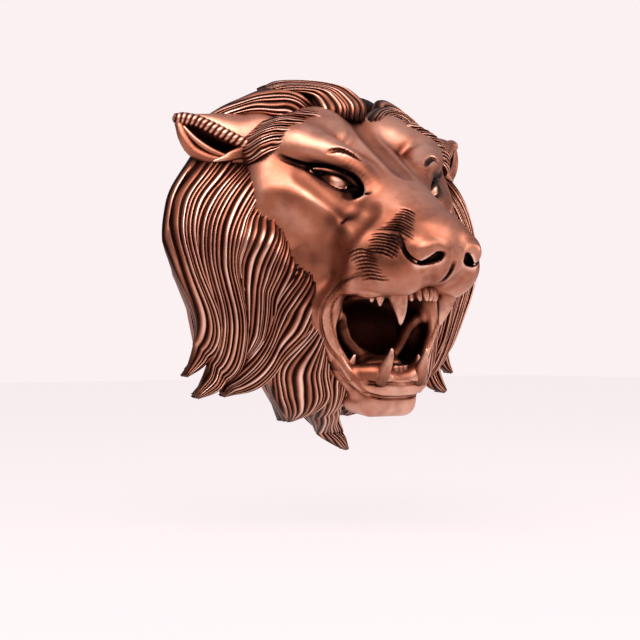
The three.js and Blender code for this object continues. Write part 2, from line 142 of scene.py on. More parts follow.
@dataclass(frozen=True)
class AntiqueCopper:
    """Copper plate on a casting, blackened with liver of sulphur and rubbed back by hand.

    The high places are bare and pinkish, flat places keep a thin brown coat, and the grooves
    hold a nearly black patina that is also rougher. The tone follows an attribute that also holds
    the shade and highlights painted onto the pieces.
    """

    name: str
    groove: str = "#0C0606"
    film_and_shade: str = "#432219"
    copper: str = "#A6664E"
    bright: str = "#DCA48D"
    bare: str = "#F6D9CD"
    stain: str = "#8E4A34"
    cloud_mm: float = 42.0
    streak_mm: float = 15.0
    # The sand grain of the real casting is finer than a pixel, so it is drawn coarser here.
    grain_mm: float = 1.3
    smooth: float = 0.35
    rough: float = 0.55
    grain_depth: float = 0.10
    unevenness: float = 0.18
    staining: float = 0.55

    def make(self) -> bpy.types.Material:
        """Build the material.

        Returns:
            The finished Blender material.
        """
        material = bpy.data.materials.new(self.name)
        material.use_nodes = True
        tree = material.node_tree
        shader = tree.nodes["Principled BSDF"]
        place = add_node(tree, "ShaderNodeTexCoord", {}, {}).outputs["Object"]
        wear_and_light = add_node(tree, "ShaderNodeAttribute", {"attribute_name": WEAR_AND_LIGHT}, {}).outputs["Fac"]
        cloud = self.noise(tree, place, self.cloud_mm, 3.0)
        streak = self.noise(tree, place, self.streak_mm, 4.0)
        grain = self.noise(tree, place, self.grain_mm, 2.0)
        uneven = add_node(
            tree,
            "ShaderNodeMath",
            {"operation": "MULTIPLY_ADD", 1: self.unevenness, 2: -self.unevenness / 2},
            {0: streak},
        )
        # Rubbing with painted shade and highlights in it, plus random streaks.
        wear_and_light_mix = add_node(
            tree,
            "ShaderNodeMath",
            {"operation": "ADD", "use_clamp": True},
            {0: wear_and_light, 1: uneven.outputs[0]},
        )
        tones = add_node(tree, "ShaderNodeValToRGB", {}, {"Fac": wear_and_light_mix.outputs[0]})
        dark = [(0.0, self.groove), (0.26, self.film_and_shade)]
        ramp(tones, [*dark, (0.56, self.copper), (0.80, self.bright), (1.0, self.bare)])
        clouds = add_node(
            tree,
            "ShaderNodeMapRange",
            {"From Min": 0.48, "From Max": 0.72, "To Min": 0.0, "To Max": self.staining},
            {"Value": cloud},
        )
        stained = add_node(
            tree,
            "ShaderNodeMix",
            {"data_type": "RGBA", "blend_type": "MULTIPLY", 7: linear(self.stain)},
            {0: clouds.outputs["Result"], 6: tones.outputs["Color"]},
        )
        dull = add_node(
            tree,
            "ShaderNodeMapRange",
            {"From Min": 0.1, "From Max": 0.8, "To Min": self.rough, "To Max": self.smooth},
            {"Value": wear_and_light_mix.outputs[0]},
        )
        cast = add_node(
            tree,
            "ShaderNodeBump",
            {"Strength": self.grain_depth, "Distance": self.grain_mm * MM * 0.3},
            {"Height": grain},
        )
        tree.links.new(stained.outputs[2], shader.inputs["Base Color"])
        tree.links.new(dull.outputs["Result"], shader.inputs["Roughness"])
        tree.links.new(cast.outputs["Normal"], shader.inputs["Normal"])
        shader.inputs["Metallic"].default_value = 1.0
        return material

    def noise(
        self, tree: bpy.types.NodeTree, place: bpy.types.NodeSocket, size: float, detail: float
    ) -> bpy.types.NodeSocket:
        """Add noise whose blotches are about size millimetres across and return its output."""
        settings = {"Scale": 1.0 / (size * MM), "Detail": detail, "Roughness": 0.55}
        return add_node(tree, "ShaderNodeTexNoise", settings, {"Vector": place}).outputs["Fac"]


# Curves


def spline(a: Array, b: Array, c: Array, d: Array, t: float | Array) -> Array:
    """Return the point at share t of the smooth stretch from b to c, which comes from a and goes on to d.

    Args:
        a: The knot before the stretch.
        b: The knot at its start.
        c: The knot at its end.
        d: The knot after it.
        t: The share of the stretch.

    Returns:
        The point.
    """
    return 0.5 * (2 * b + (c - a) * t + (2 * a - 5 * b + 4 * c - d) * t * t + (3 * b - a - 3 * c + d) * t**3)


def curve(points: Sequence[Sequence[float]], steps: int = 6) -> Array:
    """Draw a smooth curve through points, whatever values each carries.

    Args:
        points: The points in order.
        steps: How many steps are taken between two points.

    Returns:
        The points of the curve as an array.
    """
    known = np.array(points, float)
    ends = np.vstack([2 * known[0] - known[1], known, 2 * known[-1] - known[-2]])
    shares = np.linspace(0, 1, steps, endpoint=False)
    stretches = zip(ends[:-3], ends[1:-2], ends[2:-1], ends[3:])
    made = [spline(*knots, t) for knots in stretches for t in shares]
    return np.array([*made, known[-1]])


class Rail:
    """A smooth line that can be asked for its place at any share of its length."""

    def __init__(self, points: Sequence[Sequence[float]]) -> None:
        """Draw the rail through the points."""
        self.line = curve(points, 16)
        gaps = np.linalg.norm(np.diff(self.line[:, :3], axis=0), axis=1)
        self.share = np.concatenate([[0.0], np.cumsum(gaps)]) / gaps.sum()

    def at(self, share: Array) -> Array:
        """Return the places on the rail at the given shares of its length."""
        columns = [np.interp(share, self.share, self.line[:, i]) for i in range(self.line.shape[1])]
        return np.stack(columns, axis=-1)


def flip(points: Sequence[Sequence[float]], sign: float = -1.0) -> list[tuple[float, ...]]:
    """Return points on the other half of the mask, or on the same half with a sign of 1."""
    return [(sign * p[0], *p[1:]) for p in points]


def between(first: Sequence[Point], last: Sequence[Point], count: int) -> list[Array]:
    """Spread lines evenly from a first line to a last one.

    Args:
        first: Points of the first line.
        last: Points of the last line.
        count: How many lines are wanted.

    Returns:
        The lines, each with five points.
    """
    shares = np.linspace(0, 1, 5)
    start, end = Rail(first).at(shares), Rail(last).at(shares)
    return [start + (end - start) * t for t in np.linspace(0, 1, count)]


def within(places: Array, low: Point, high: Point) -> Array:
    """Say which places lie inside a box."""
    return ((places > low) & (places < high)).all(axis=1)


# Clay: soft joined forms that are turned into one skin


def soft_min(a: Array, b: Array, blend: float) -> Array:
    """Take the smaller of two distances, rounded where they are within blend of each other."""
    near = np.maximum(blend - np.abs(a - b), 0) / blend
    return np.minimum(a, b) - near * near * blend * 0.25


class Ball:
    """An egg form with three radii, tipped about the X axis."""

    def __init__(self, centre: Point, radii: Point, pitch: float = 0.0) -> None:
        """Keep the egg's centre, radii and tip in degrees."""
        c, s = math.cos(math.radians(pitch)), math.sin(math.radians(pitch))
        self.centre = np.array(centre, np.float32)
        self.radii = np.array(radii, np.float32)
        self.turn = np.array([[1, 0, 0], [0, c, -s], [0, s, c]], np.float32)
        self.low, self.high = self.centre - max(radii), self.centre + max(radii)

    def distance(self, places: Array) -> Array:
        """Return how far each place is from the skin, negative inside."""
        local = (places - self.centre) @ self.turn
        scaled = local / self.radii
        size = np.sqrt((scaled * scaled).sum(1))
        steep = scaled / self.radii
        return size * (size - 1) / (np.sqrt((steep * steep).sum(1)) + 1e-9)


class Block:
    """A box with rounded edges, tipped about the X axis."""

    def __init__(self, centre: Point, half: Point, corner: float, pitch: float = 0.0) -> None:
        """Keep the box's centre, half sizes, corner radius and tip in degrees."""
        c, s = math.cos(math.radians(pitch)), math.sin(math.radians(pitch))
        self.centre = np.array(centre, np.float32)
        self.half = np.array(half, np.float32) - corner
        self.corner = corner
        self.turn = np.array([[1, 0, 0], [0, c, -s], [0, s, c]], np.float32)
        reach = float(np.linalg.norm(half))
        self.low, self.high = self.centre - reach, self.centre + reach

    def distance(self, places: Array) -> Array:
        """Return how far each place is from the skin, negative inside."""
        out = np.abs((places - self.centre) @ self.turn) - self.half
        outside = np.sqrt((np.maximum(out, 0) ** 2).sum(1))
        return outside + np.minimum(out.max(1), 0) - self.corner


class Rope:
    """A round rope through beads (x, depth, z, radius)."""

    def __init__(self, beads: Sequence[Sequence[float]]) -> None:
        """Keep the rope's beads."""
        line = np.array(beads, np.float32)
        self.line, self.radii = line[:, :3], line[:, 3]
        self.low = (self.line - self.radii[:, None]).min(0)
        self.high = (self.line + self.radii[:, None]).max(0)

    def distance(self, places: Array) -> Array:
        """Return how far each place is from the skin, negative inside."""
        nearest = np.full(len(places), 1e3, np.float32)
        for a, b, ra, rb in zip(self.line[:-1], self.line[1:], self.radii[:-1], self.radii[1:]):
            along = b - a
            t = np.clip(((places - a) @ along) / max(float(along @ along), 1e-6), 0, 1)
            gap = places - a - t[:, None] * along
            nearest = np.minimum(nearest, np.sqrt((gap * gap).sum(1)) - (ra + (rb - ra) * t))
        return nearest


class Clay:
    """Forms that are added and cut in order, the same on both halves of the head.

    A place with no form near it counts as FAR millimetres away. A form is felt up to MARGIN
    millimetres beyond its blend.
    """

    FAR = 60.0
    MARGIN = 7.5

    def __init__(self) -> None:
        """Start with no clay."""
        self.steps: list[tuple[bool, Ball | Block | Rope, float]] = []

    def add(self, form: Ball | Block | Rope, blend: float) -> None:
        """Put a form on, smoothed in over blend millimetres."""
        self.steps.append((True, form, blend))

    def cut(self, form: Ball | Block | Rope, blend: float) -> None:
        """Take a form away, its edge rounded over blend millimetres."""
        self.steps.append((False, form, blend))

    def distance(self, places: Array) -> Array:
        """Return how far each place is from the clay's skin, negative inside."""
        half = places.astype(np.float32).copy()
        half[:, 0] = np.abs(half[:, 0])
        total = np.full(len(half), self.FAR, np.float32)
        for adding, form, blend in self.steps:
            room = blend + self.MARGIN
            near = np.nonzero(((half >= form.low - room) & (half <= form.high + room)).all(1))[0]
            if len(near):
                value = form.distance(half[near]).astype(np.float32)
                was = total[near]
                total[near] = soft_min(was, value, blend) if adding else -soft_min(-was, value, blend)
        return total

    def normal(self, places: Array, here: Array | None = None, step: float = 0.4) -> Array:
        """Find the direction out of the clay.

        Args:
            places: Where to look.
            here: The distances at those places, if they are known.
            step: How far apart two samples are.

        Returns:
            Unit vectors.
        """
        known = self.distance(places) if here is None else here
        slope = np.stack([self.distance(places + s) - known for s in np.eye(3) * step], 1)
        return slope / (np.linalg.norm(slope, axis=1)[:, None] + 1e-9)

    def onto_skin(self, places: Array, rounds: int = 3, most: float = 12.0) -> Array:
        """Move places to the nearest skin, by at most so many millimetres a round."""
        moved = np.array(places, float)
        for _ in range(rounds):
            gap = self.distance(moved)
            moved = moved - np.clip(gap, -most, most)[:, None] * self.normal(moved, gap)
        return moved

    def scored(self, points: Sequence[Point], radius: float, depth: float) -> Rope:
        """Lay a rope along the skin so that it bites in by depth and runs out at both ends.

        Args:
            points: Places near the skin.
            radius: The rope's radius.
            depth: How far it reaches under the skin; under zero it stands proud instead.

        Returns:
            The rope, to be cut away or added.
        """
        line = self.onto_skin(curve([p[:3] for p in points], 8 // min(4, len(points) - 1) + 1))
        share = np.linspace(0, 1, len(line))
        bite = abs(depth) * np.sin(np.pi * np.clip(share * 0.94 + 0.03, 0, 1)) ** 0.6
        offset = radius - bite if depth > 0 else bite - radius
        centres = line + self.normal(line) * offset[:, None]
        return Rope(np.column_stack([centres, np.full(len(line), radius)]))

    def groove(self, points: Sequence[Point], radius: float, depth: float, blend: float = 1.5) -> None:
        """Cut a groove that follows the skin."""
        self.cut(self.scored(points, radius, depth), blend)

    def ridge(self, points: Sequence[Point], radius: float, height: float, blend: float = 3.0) -> None:
        """Lay a ridge that follows the skin."""
        self.add(self.scored(points, radius, -height), blend)


@dataclass
class Skin:
    """Turns clay into a mesh of small faces, finer where fine detail is asked for."""

    grain: float = 1.6
    block: int = 4
    smoothings: int = 2
    batch: int = 300000
    low: Point = (-132.0, 12.0, -164.0)
    high: Point = (132.0, 240.0, 204.0)

    def values(self, clay: Clay) -> tuple[Array, Array]:
        """Sample the clay on a grid, closely near its skin and coarsely elsewhere.

        Args:
            clay: The clay to sample.

        Returns:
            The grid's low corner and its values in millimetres.
        """
        low, coarse = np.array(self.low), self.grain * self.block
        counts = np.ceil((np.array(self.high) - low) / coarse).astype(int)
        axes = [low[i] + coarse * (np.arange(counts[i]) + 0.5) for i in range(3)]
        centres = np.stack(np.meshgrid(*axes, indexing="ij"), -1).reshape(-1, 3)
        rough = clay.distance(centres).reshape(counts)
        fine = rough.repeat(self.block, 0).repeat(self.block, 1).repeat(self.block, 2).astype(np.float32)
        in_block = np.stack(np.meshgrid(*[np.arange(self.block)] * 3, indexing="ij"), -1).reshape(-1, 3)
        close = np.argwhere(np.abs(rough) < coarse * 1.1)
        cells = (close[:, None, :] * self.block + in_block[None]).reshape(-1, 3)
        places = low + self.grain * (cells + 0.5)
        for chosen in np.array_split(np.arange(len(places)), max(1, len(places) // self.batch)):
            i, j, k = cells[chosen].T
            fine[i, j, k] = clay.distance(places[chosen])
        fine[:, :2, :] = np.maximum(fine[:, :2, :], self.grain)
        return low, fine

    def mesh(self, clay: Clay, fine_boxes: Sequence[tuple[Point, Point]]) -> bmesh.types.BMesh:
        """Make the skin, in millimetres as (x, depth, z).

        Args:
            clay: The clay to skin.
            fine_boxes: Boxes, on one half of the head, where the faces are halved.

        Returns:
            A closed mesh that lies on the skin.
        """
        low, values = self.values(clay)
        grid = openvdb.FloatGrid(background=self.grain)
        grid.copyFromArray(np.clip(values, -3 * self.grain, 3 * self.grain) / self.grain)
        grid.gridClass = openvdb.GridClass.LEVEL_SET
        points, triangles, quads = grid.convertToPolygons(isovalue=0.0, adaptivity=0.0)
        shell = bmesh.new()
        corners = [shell.verts.new(p) for p in low + self.grain * (points + 0.5)]
        for face in [*quads, *triangles]:
            shell.faces.new([corners[i] for i in face])
        self.refine(shell, fine_boxes)
        self.settle(shell, clay)
        for _ in range(self.smoothings):
            bmesh.ops.smooth_vert(
                shell, verts=shell.verts, factor=0.4, use_axis_x=True, use_axis_y=True, use_axis_z=True
            )
        return shell

    def refine(self, shell: bmesh.types.BMesh, boxes: Sequence[tuple[Point, Point]]) -> None:
        """Halve the edges that lie inside the boxes on either half of the head."""
        for low, high in boxes:
            inside = {
                v
                for v in shell.verts
                if all(a <= c <= b for a, c, b in zip(low, (abs(v.co.x), v.co.y, v.co.z), high))
            }
            edges = [e for e in shell.edges if e.verts[0] in inside and e.verts[1] in inside]
            bmesh.ops.subdivide_edges(shell, edges=edges, cuts=1, use_grid_fill=True)

    def settle(self, shell: bmesh.types.BMesh, clay: Clay) -> None:
        """Pull every point that isn't on the flat back onto the clay's skin."""
        places = np.array([v.co for v in shell.verts])
        moved = clay.onto_skin(places, rounds=1, most=self.grain)
        front = places[:, 1] > self.low[1] + 2.5 * self.grain
        places[front] = moved[front]
        for vertex, place in zip(shell.verts, places):
            vertex.co = place


# Pieces


class Piece:
    """One visible piece of the casting while it is being built.

    An underside draws in by at most STEEPEST of its height. A ring on the side that is rubbed more
    than SWOLLEN_FROM stands out by SWELL millimetres, as a strand does. A side that hides among other
    hair is painted nearly black as shade, with the value HIDDEN_SHADE.
    """

    STEEPEST = 0.8
    SWELL = 0.8
    SWOLLEN_FROM = 0.3
    HIDDEN_SHADE = 0.02

    def __init__(self, name: str) -> None:
        """Start an empty piece with a layer of rubbing, painted shade and painted highlights."""
        self.name = name
        self.mesh = bmesh.new()
        self.wear_and_light = self.mesh.verts.layers.float.new(WEAR_AND_LIGHT)

    def sheet(self, columns: int, rows: int, place: Place) -> list[bmesh.types.BMVert]:
        """Make a grid and move each of its points to place(u, s).

        Args:
            columns: Faces across, over u from 0 to 1.
            rows: Faces along, over s from 0 to 1.
            place: Gives places and rubbed values for arrays of u and s.

        Returns:
            The new vertices.
        """
        made = bmesh.ops.create_grid(self.mesh, x_segments=columns, y_segments=rows, size=0.5)["verts"]
        shares = np.array([v.co for v in made]) + 0.5
        places, rubbed = place(shares[:, 0], shares[:, 1])
        for vertex, co, value in zip(made, places, rubbed):
            vertex.co = co
            vertex[self.wear_and_light] = value
        return made

    def tube(self, around: int, rows: int, place: Place) -> None:
        """Make a closed skin whose u runs once around and whose s runs from end to end."""
        made = self.sheet(around, rows, place)
        bmesh.ops.remove_doubles(self.mesh, verts=made, dist=1e-3)

    def skirt(
        self,
        made: list[bmesh.types.BMVert],
        base: float,
        undercut: float = 0.0,
        reach: dict | None = None,
        rings: Sequence[tuple[float, float]] = ((1.0, 0.12),),
    ) -> None:
        """Take a sheet's border down to the given depth and close the underside.

        Args:
            made: The sheet's vertices.
            base: Depth of the underside.
            undercut: How far the underside's border draws in under the sheet.
            reach: The most that it may draw in under each vertex.
            rings: Share of the way down and rubbed value of each ring on the side.
        """
        own = set(made)
        open_edges = (e for v in made for e in v.link_edges if e.is_boundary and e.other_vert(v) in own)
        border = list(dict.fromkeys(open_edges))
        reach = reach or dict.fromkeys(made, undercut)
        inward = {}
        for vertex in {v for e in border for v in e.verts}:
            around = [e.other_vert(vertex).co for e in vertex.link_edges if not e.is_boundary]
            edges = [e.other_vert(vertex).co for e in vertex.link_edges if e.is_boundary]
            along = edges[0] - edges[-1]
            across = Vector((along.z, 0.0, -along.x))
            centre = sum(around or edges, Vector()) / len(around or edges) - vertex.co
            turn = 1 if across.dot(centre) > 0 else -1
            inward[vertex] = across.normalized() * turn if across.length else across
        tops, rim = {v: v for v in inward}, border
        for share, rubbed in rings:
            pulled = bmesh.ops.extrude_edge_only(self.mesh, edges=rim)["geom"]
            fresh = {}
            for vertex in (g for g in pulled if isinstance(g, bmesh.types.BMVert)):
                above = (e.other_vert(vertex) for e in vertex.link_edges)
                top = next(tops[v] for v in above if v in tops)
                draw = min(undercut, max(0.0, top.co.y - base) * self.STEEPEST, reach[top])
                swell = self.SWELL if self.SWOLLEN_FROM < rubbed and share < 1 else 0.0
                vertex.co = top.co + inward[top] * (draw * share**1.5 - swell)
                vertex.co.y = top.co.y + (base - top.co.y) * share
                # A hidden side is painted nearly black, as shade.
                vertex[self.wear_and_light] = rubbed if reach[top] > 0 else self.HIDDEN_SHADE
                fresh[vertex] = top
            rim = [g for g in pulled if isinstance(g, bmesh.types.BMEdge) and g.is_boundary]
            tops = fresh
        bmesh.ops.triangle_fill(self.mesh, edges=rim, use_beauty=True, normal=(0, -1, 0))

    def finish(self, material: bpy.types.Material) -> bpy.types.Object:
        """Turn the piece into an object in the frame, riding on the mask.

        Args:
            material: The finish.

        Returns:
            The finished object.
        """
        for vertex in self.mesh.verts:
            x, depth, z = vertex.co
            vertex.co = (x * MM, -depth * MM, z * MM)
        bmesh.ops.recalc_face_normals(self.mesh, faces=self.mesh.faces)
        data = bpy.data.meshes.new(self.name)
        self.mesh.to_mesh(data)
        self.mesh.free()
        data.materials.append(material)
        data.shade_smooth()
        piece = bpy.data.objects.new(self.name, data)
        bpy.context.scene.collection.objects.link(piece)
        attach(piece, "root")
        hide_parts("lion_mask")
        triangles = sum(len(p.vertices) - 2 for p in data.polygons)
        LOG.info("%s: %d triangles", self.name, triangles)
        return piece


def strand(
    piece: Piece,
    beads: Sequence[Bead],
    around: int = 12,
    rows: int = 20,
    rubbed: tuple[float, float] = (0.75, 0.75),
    flat: float = 1.0,
) -> None:
    """Sweep a round, tapering form through beads (x, depth, z, radius).

    Args:
        piece: The piece that gets it.
        beads: Centres with radii.
        around: Faces round the form.
        rows: Faces along it.
        rubbed: How rubbed it is at its start and its end.
        flat: Thickness out of the wall against width.
    """
    rail = Rail(beads)
    round_end = 0.06

    def place(u: Array, s: Array) -> tuple[Array, Array]:
        """Give each point its place round the rail."""
        beads_here = rail.at(s)
        ahead = rail.at(np.minimum(s + 0.01, 1))[:, :3] - rail.at(np.maximum(s - 0.01, 0))[:, :3]
        ahead /= np.linalg.norm(ahead, axis=1)[:, None] + 1e-9
        side = np.cross(ahead, np.array([0.0, 1.0, 0.0]))
        side /= np.linalg.norm(side, axis=1)[:, None] + 1e-9
        out = np.cross(side, ahead)
        from_end = np.minimum(s, 1 - s)
        radius = beads_here[:, 3] * np.sqrt(1 - np.clip(1 - from_end / round_end, 0, 1) ** 2)
        turn = 2 * np.pi * u
        places = (
            beads_here[:, :3]
            + side * (radius * np.cos(turn))[:, None]
            + out * (radius * flat * np.sin(turn))[:, None]
        )
        return places, rubbed[0] + (rubbed[1] - rubbed[0]) * s

    piece.tube(around, rows, place)


# The head


@dataclass
class Face:
    """Skull, brow, eyes, muzzle, open jaws and chin, modelled as one clay."""

    lip: float = 6.0
    wrinkle: float = 0.95
    bow: float = 2.4
    # Share of the skin's triangles that are kept in the end.
    kept: float = 0.5
    cheek_fold: tuple = ((50, 104, -58), (43, 97, -68), (37, 95, -80), (27, 97, -91), (14, 99, -98))
    eye: Point = (58.0, 101.0, 77.5)
    eye_radii: Point = (19.0, 19.0, 14.0)
    mouth_box: tuple = ((-1, 0, -112), (62, 150, -38))
    gum_box: tuple = ((-1, 96, -122), (50, 141, -98))
    # How far out and in the skin feels for hollows and ridges, in millimetres, each with its weight.
    hollows: tuple = ((1.5, 0.3), (4.0, 0.55), (10.0, 0.52), (24.0, 0.24))
    ridges: tuple = ((2.0, 0.5), (5.0, 0.5))
    plain_rub: float = 0.66
    ridge_gain: float = 0.9
    hollow_loss: float = 1.05
    most_rub: float = 0.92
    # Spots that darken the skin, or lighten it under zero: x, depth, z, reach and how much. The spots
    # under the nose wings and over the upper lids are painted shade and those down the cheekbone a
    # painted highlight; the rest make the brown coat thicker or thinner.
    film_and_shade: tuple = (
        (48, 192, -3, 15, 0.4), (30, 196, 30, 26, 0.1), (60, 168, 14, 20, 0.22), (84, 104, 2, 20, 0.22),
        (60, 128, 44, 14, 0.2), (34, 172, -30, 12, -0.2), (46, 92, 128, 38, -0.14), (0, 122, -142, 30, -0.3),
        (76, 106, 88, 12, 0.4), (62, 119, 84, 10, 0.3), (78, 92, 48, 11, 0.26), (68, 105, 28, 11, 0.26),
        (88, 76, 41, 11, -0.2), (74, 90, 18, 10, -0.22), (60, 98, -4, 10, -0.2), (86, 78, 5, 12, 0.2),
    )
    skin: Skin = field(default_factory=Skin)

    def clay(self) -> Clay:
        """Build the whole head.

        Returns:
            The clay with every form and groove on it.
        """
        clay = Clay()
        self.skull(clay)
        self.muzzle(clay)
        self.jaw(clay)
        self.eyes(clay)
        self.mouth(clay)
        self.folds(clay)
        self.wrinkles(clay)
        return clay

    def skull(self, clay: Clay) -> None:
        """Add the skull, forehead lobes, cheeks, brows and the wedge of the nose bridge."""
        clay.add(Ball((0, 30, 70), (122, 62, 90)), 10)
        clay.add(Rope([(0, 26, 90, 70), (0, 186, 10, 38)]), 16)
        clay.add(Ball((45, 55, 128), (42, 33, 36), 30), 6)
        clay.add(Ball((40, 8, 146), (48, 30, 42)), 4)
        clay.add(Ball((90, 6, 150), (38, 18, 12)), 2)
        clay.add(Ball((72, 68, 120), (36, 26, 25)), 12)
        clay.add(Ball((60, 66, 46), (58, 60, 60)), 16)
        clay.add(Ball((84, 48, 92), (42, 32, 38)), 12)
        clay.add(Ball((70, 58, 0), (48, 50, 48)), 16)
        clay.add(Ball((90, 53, 60), (42, 37, 44)), 20)
        brow = [(98, 60, 110, 16), (80, 81, 113, 20), (60, 98, 105, 20), (42, 115, 89, 17), (30, 131, 70, 11)]
        clay.add(Rope(curve(brow)), 9)
        parting = [(0, 46, 182), (0, 66, 156), (0, 86, 132), (0, 112, 110), (0, 128, 97), (0, 144, 86)]
        clay.groove(parting, 7, 4.5, 11)

    def muzzle(self, clay: Clay) -> None:
        """Add the whisker pads, the nose with its wings, and the nostrils."""
        clay.add(Ball((42, 126, 6), (37, 54, 38)), 16)
        clay.add(Ball((31, 171, -9), (32, 39, 31), 12), 8)
        clay.add(Ball((0, 191, 15), (41, 30, 26), -38), 11)
        clay.add(Ball((29, 196, 8), (19, 24, 17)), 8)
        clay.add(Ball((0, 203, 0), (13, 15, 18)), 8)
        nostril = [(14, 223, 2, 2.4), (18, 217, 0, 4.8), (25, 213, -3, 4.4), (35, 206, -6, 2.4)]
        clay.cut(Rope(curve(nostril)), 2)
        clay.groove([(0, 224, -7), (0, 220, -16), (0, 212, -27), (0, 206, -35)], 1.3, 2.4, 2.5)
        clay.cut(Rope([(0, 213, -29, 3), (0, 207, -39, 10)]), 5)
        wing = [(43, 188, 24), (47, 199, 13), (47, 204, 4), (43, 208, -3), (34, 211, -7), (27, 214, -5)]
        clay.groove(wing, 1.8, 2.0, 1.5)
        clay.ridge([(37, 213, 2), (32, 218, 8), (23, 221, 11), (14, 222, 9), (10, 221, 2)], 5, 1.2, 4)

    def jaw(self, clay: Clay) -> None:
        """Add the lower cheeks, the throat, the jaw and the squared chin."""
        clay.add(Ball((64, 74, -40), (24, 40, 46)), 12)
        clay.add(Ball((0, 40, -80), (66, 50, 70)), 18)
        back = [(60, 80, -58, 17), (50, 92, -88, 15), (40, 102, -112, 14)]
        clay.add(Rope(curve([*back, (27, 108, -124, 14), (0, 110, -126, 14)])), 8)
        clay.add(Block((0, 103, -138), (35, 27, 19), 15, -8), 8)
        clay.add(Ball((0, 84, -134), (30, 30, 20)), 8)
        clay.add(Block((0, 114, -122), (31, 20, 9), 6, 4), 4)

    def mouth(self, clay: Clay) -> None:
        """Hollow the mouth and run the rolled lip round it."""
        bed = [(40, 168, -24, 10), (54, 150, -24, 12), (63, 130, -22, 13), (68, 114, -34, 13)]
        clay.add(Rope(curve([*bed, (67, 104, -54, 12), (61, 102, -76, 11), (53, 104, -98, 9)])), 9)
        clay.cut(Ball((0, 112, -72), (60, 58, 40)), 6)
        clay.cut(Ball((0, 150, -72), (58, 70, 38), 8), 5)
        gum = [(0, 131, -121, 9), (14, 132, -119, 9.5), (25, 132, -115, 11), (38, 121, -114, 8.5)]
        clay.add(Rope(curve([*gum, (46, 107, -109, 5)])), 4)
        clay.add(Rope([(0, 131, -127, 8), (20, 130, -126, 8), (37, 123, -121, 6)]), 4)
        lip = self.lip
        full = lip + 1
        upper = [(44, 168, -34, lip - 3), (52, 155, -35, lip - 0.5), (60, 142, -31, lip + 0.5)]
        corner = [(69, 126, -31, full), (74, 116, -40, full), (74, 110, -54, full), (67, 107, -72, lip)]
        lower = [(57, 108, -93, lip - 0.5), (48, 116, -113, lip), (38, 124, -125, full)]
        middle = [(20, 130, -130, full), (0, 132, -131, full)]
        clay.add(Rope(curve([*upper, *corner, *lower, *middle], 5)), 3)
        clay.add(Ball((62, 84, -66), (16, 12, 42), 4), 5)
        clay.add(Ball((0, 88, -110), (30, 38, 12), 10), 6)
        clay.add(Rope([(*p, 6.0) for p in self.cheek_fold]), 9)

    def eyes(self, clay: Clay) -> None:
        """Sink the sockets, set the eyeballs and draw the lids over them."""
        socket = [(41, 129, 67, 2), (48, 125, 72, 4.5), (58, 119, 78, 8), (69, 110, 85, 6.5), (82, 98, 92, 2)]
        clay.cut(Rope(curve(socket)), 5)
        clay.groove([(38, 131, 68), (43, 129, 76), (50, 125, 84)], 4, 2.4, 5)
        clay.groove([(40, 128, 62), (48, 123, 61), (56, 119, 61)], 3.5, 3, 3)
        clay.groove([(80, 98, 92), (90, 88, 97), (104, 76, 104)], 2.0, 2.2, 2.5)
        clay.add(Ball(self.eye, self.eye_radii), 0.6)
        upper = [
            (42, 125, 67, 1.3), (46, 127, 73.5, 2.4), (55, 124, 80.5, 3.4),
            (65, 117, 86, 3.3), (74, 109, 89.5, 2.5), (84, 98, 92, 1.3),
        ]
        lower = [
            (42, 124, 66, 1.3), (50, 121, 67, 2.1), (60, 116, 69, 2.4),
            (70, 109, 75, 2.2), (78, 102, 84, 1.9), (84, 97, 91, 1.2),
        ]
        clay.add(Ball((46, 118, 69), (8, 8, 6)), 2)
        clay.add(Rope(curve(upper)), 1.8)
        clay.add(Rope(curve(lower)), 1.8)

    def folds(self, clay: Clay) -> None:
        """Work the soft folds of the forehead, cheeks and lips."""
        clay.groove([(43, 124, 98), (50, 123, 105), (60, 117, 109), (70, 110, 107)], 2.7, 2.9, 0.8)
        clay.groove([(48, 146, 36), (60, 147, 26), (72, 142, 13), (80, 130, 0)], 9, 1.6, 12)
        clay.groove([(104, 84, 48), (92, 104, 30), (80, 112, 12), (74, 112, -8)], 22, 6, 18)
        clay.groove([(90, 98, 82), (76, 112, 64), (62, 124, 53)], 10, 2.5, 10)
        clay.groove([(61, 133, 41), (68, 130, 34)], 0.9, 1.2, 0.8)
        clay.groove([(30, 140, 60), (36, 135, 55)], 0.9, 1.2, 0.8)
        outer = [
            (54, 152, -22), (60, 146, -21), (67, 138, -22), (75, 127, -28), (79, 119, -38),
            (79, 113, -51), (78, 109, -61), (71, 105, -76), (63, 107, -90), (57, 113, -101),
            (51, 121, -116), (44, 126, -124), (33, 128, -133), (18, 130, -137), (0, 131, -138),
        ]
        clay.groove(outer, 1.7, 1.4, 1.5)
        inner = [
            (58, 147, -33), (66, 131, -34), (71, 120, -42), (71, 114, -55),
            (65, 111, -72), (55, 112, -92), (47, 120, -111),
        ]
        clay.groove(inner, 1.2, 0.9, 1)
        clay.groove([(36, 124, -122), (20, 131, -125), (0, 133, -126)], 1.8, 1.6, 1)

    def wrinkles(self, clay: Clay) -> None:
        """Score the snarling muzzle with three fans of fine grooves."""
        fans = [
            (
                [(30, 175, 47), (27, 183, 44), (26, 195, 41)],
                [(52, 168, 27), (44, 180, 26), (43, 196, 20), (42, 210, 15)],
                9,
            ),
            (
                [(60, 166, 21), (50, 177, 22), (47, 190, 18), (46, 204, 14)],
                [(66, 168, 4), (61, 182, 2), (56, 198, -3)],
                7,
            ),
            (
                [(76, 148, 3), (70, 162, 5), (62, 176, 2)],
                [(66, 160, -22), (58, 178, -24), (53, 188, -22)],
                9,
            ),
        ]
        for first, last, count in fans:
            for i, line in enumerate(between(first, last, count)):
                short = 0.03 + 0.07 * math.sin(2.3 * i)
                line = [self.arced(line, t) for t in np.linspace(short, 1 - short * 0.7, 5)]
                clay.groove(line, self.wrinkle, 1.0, 0.5)

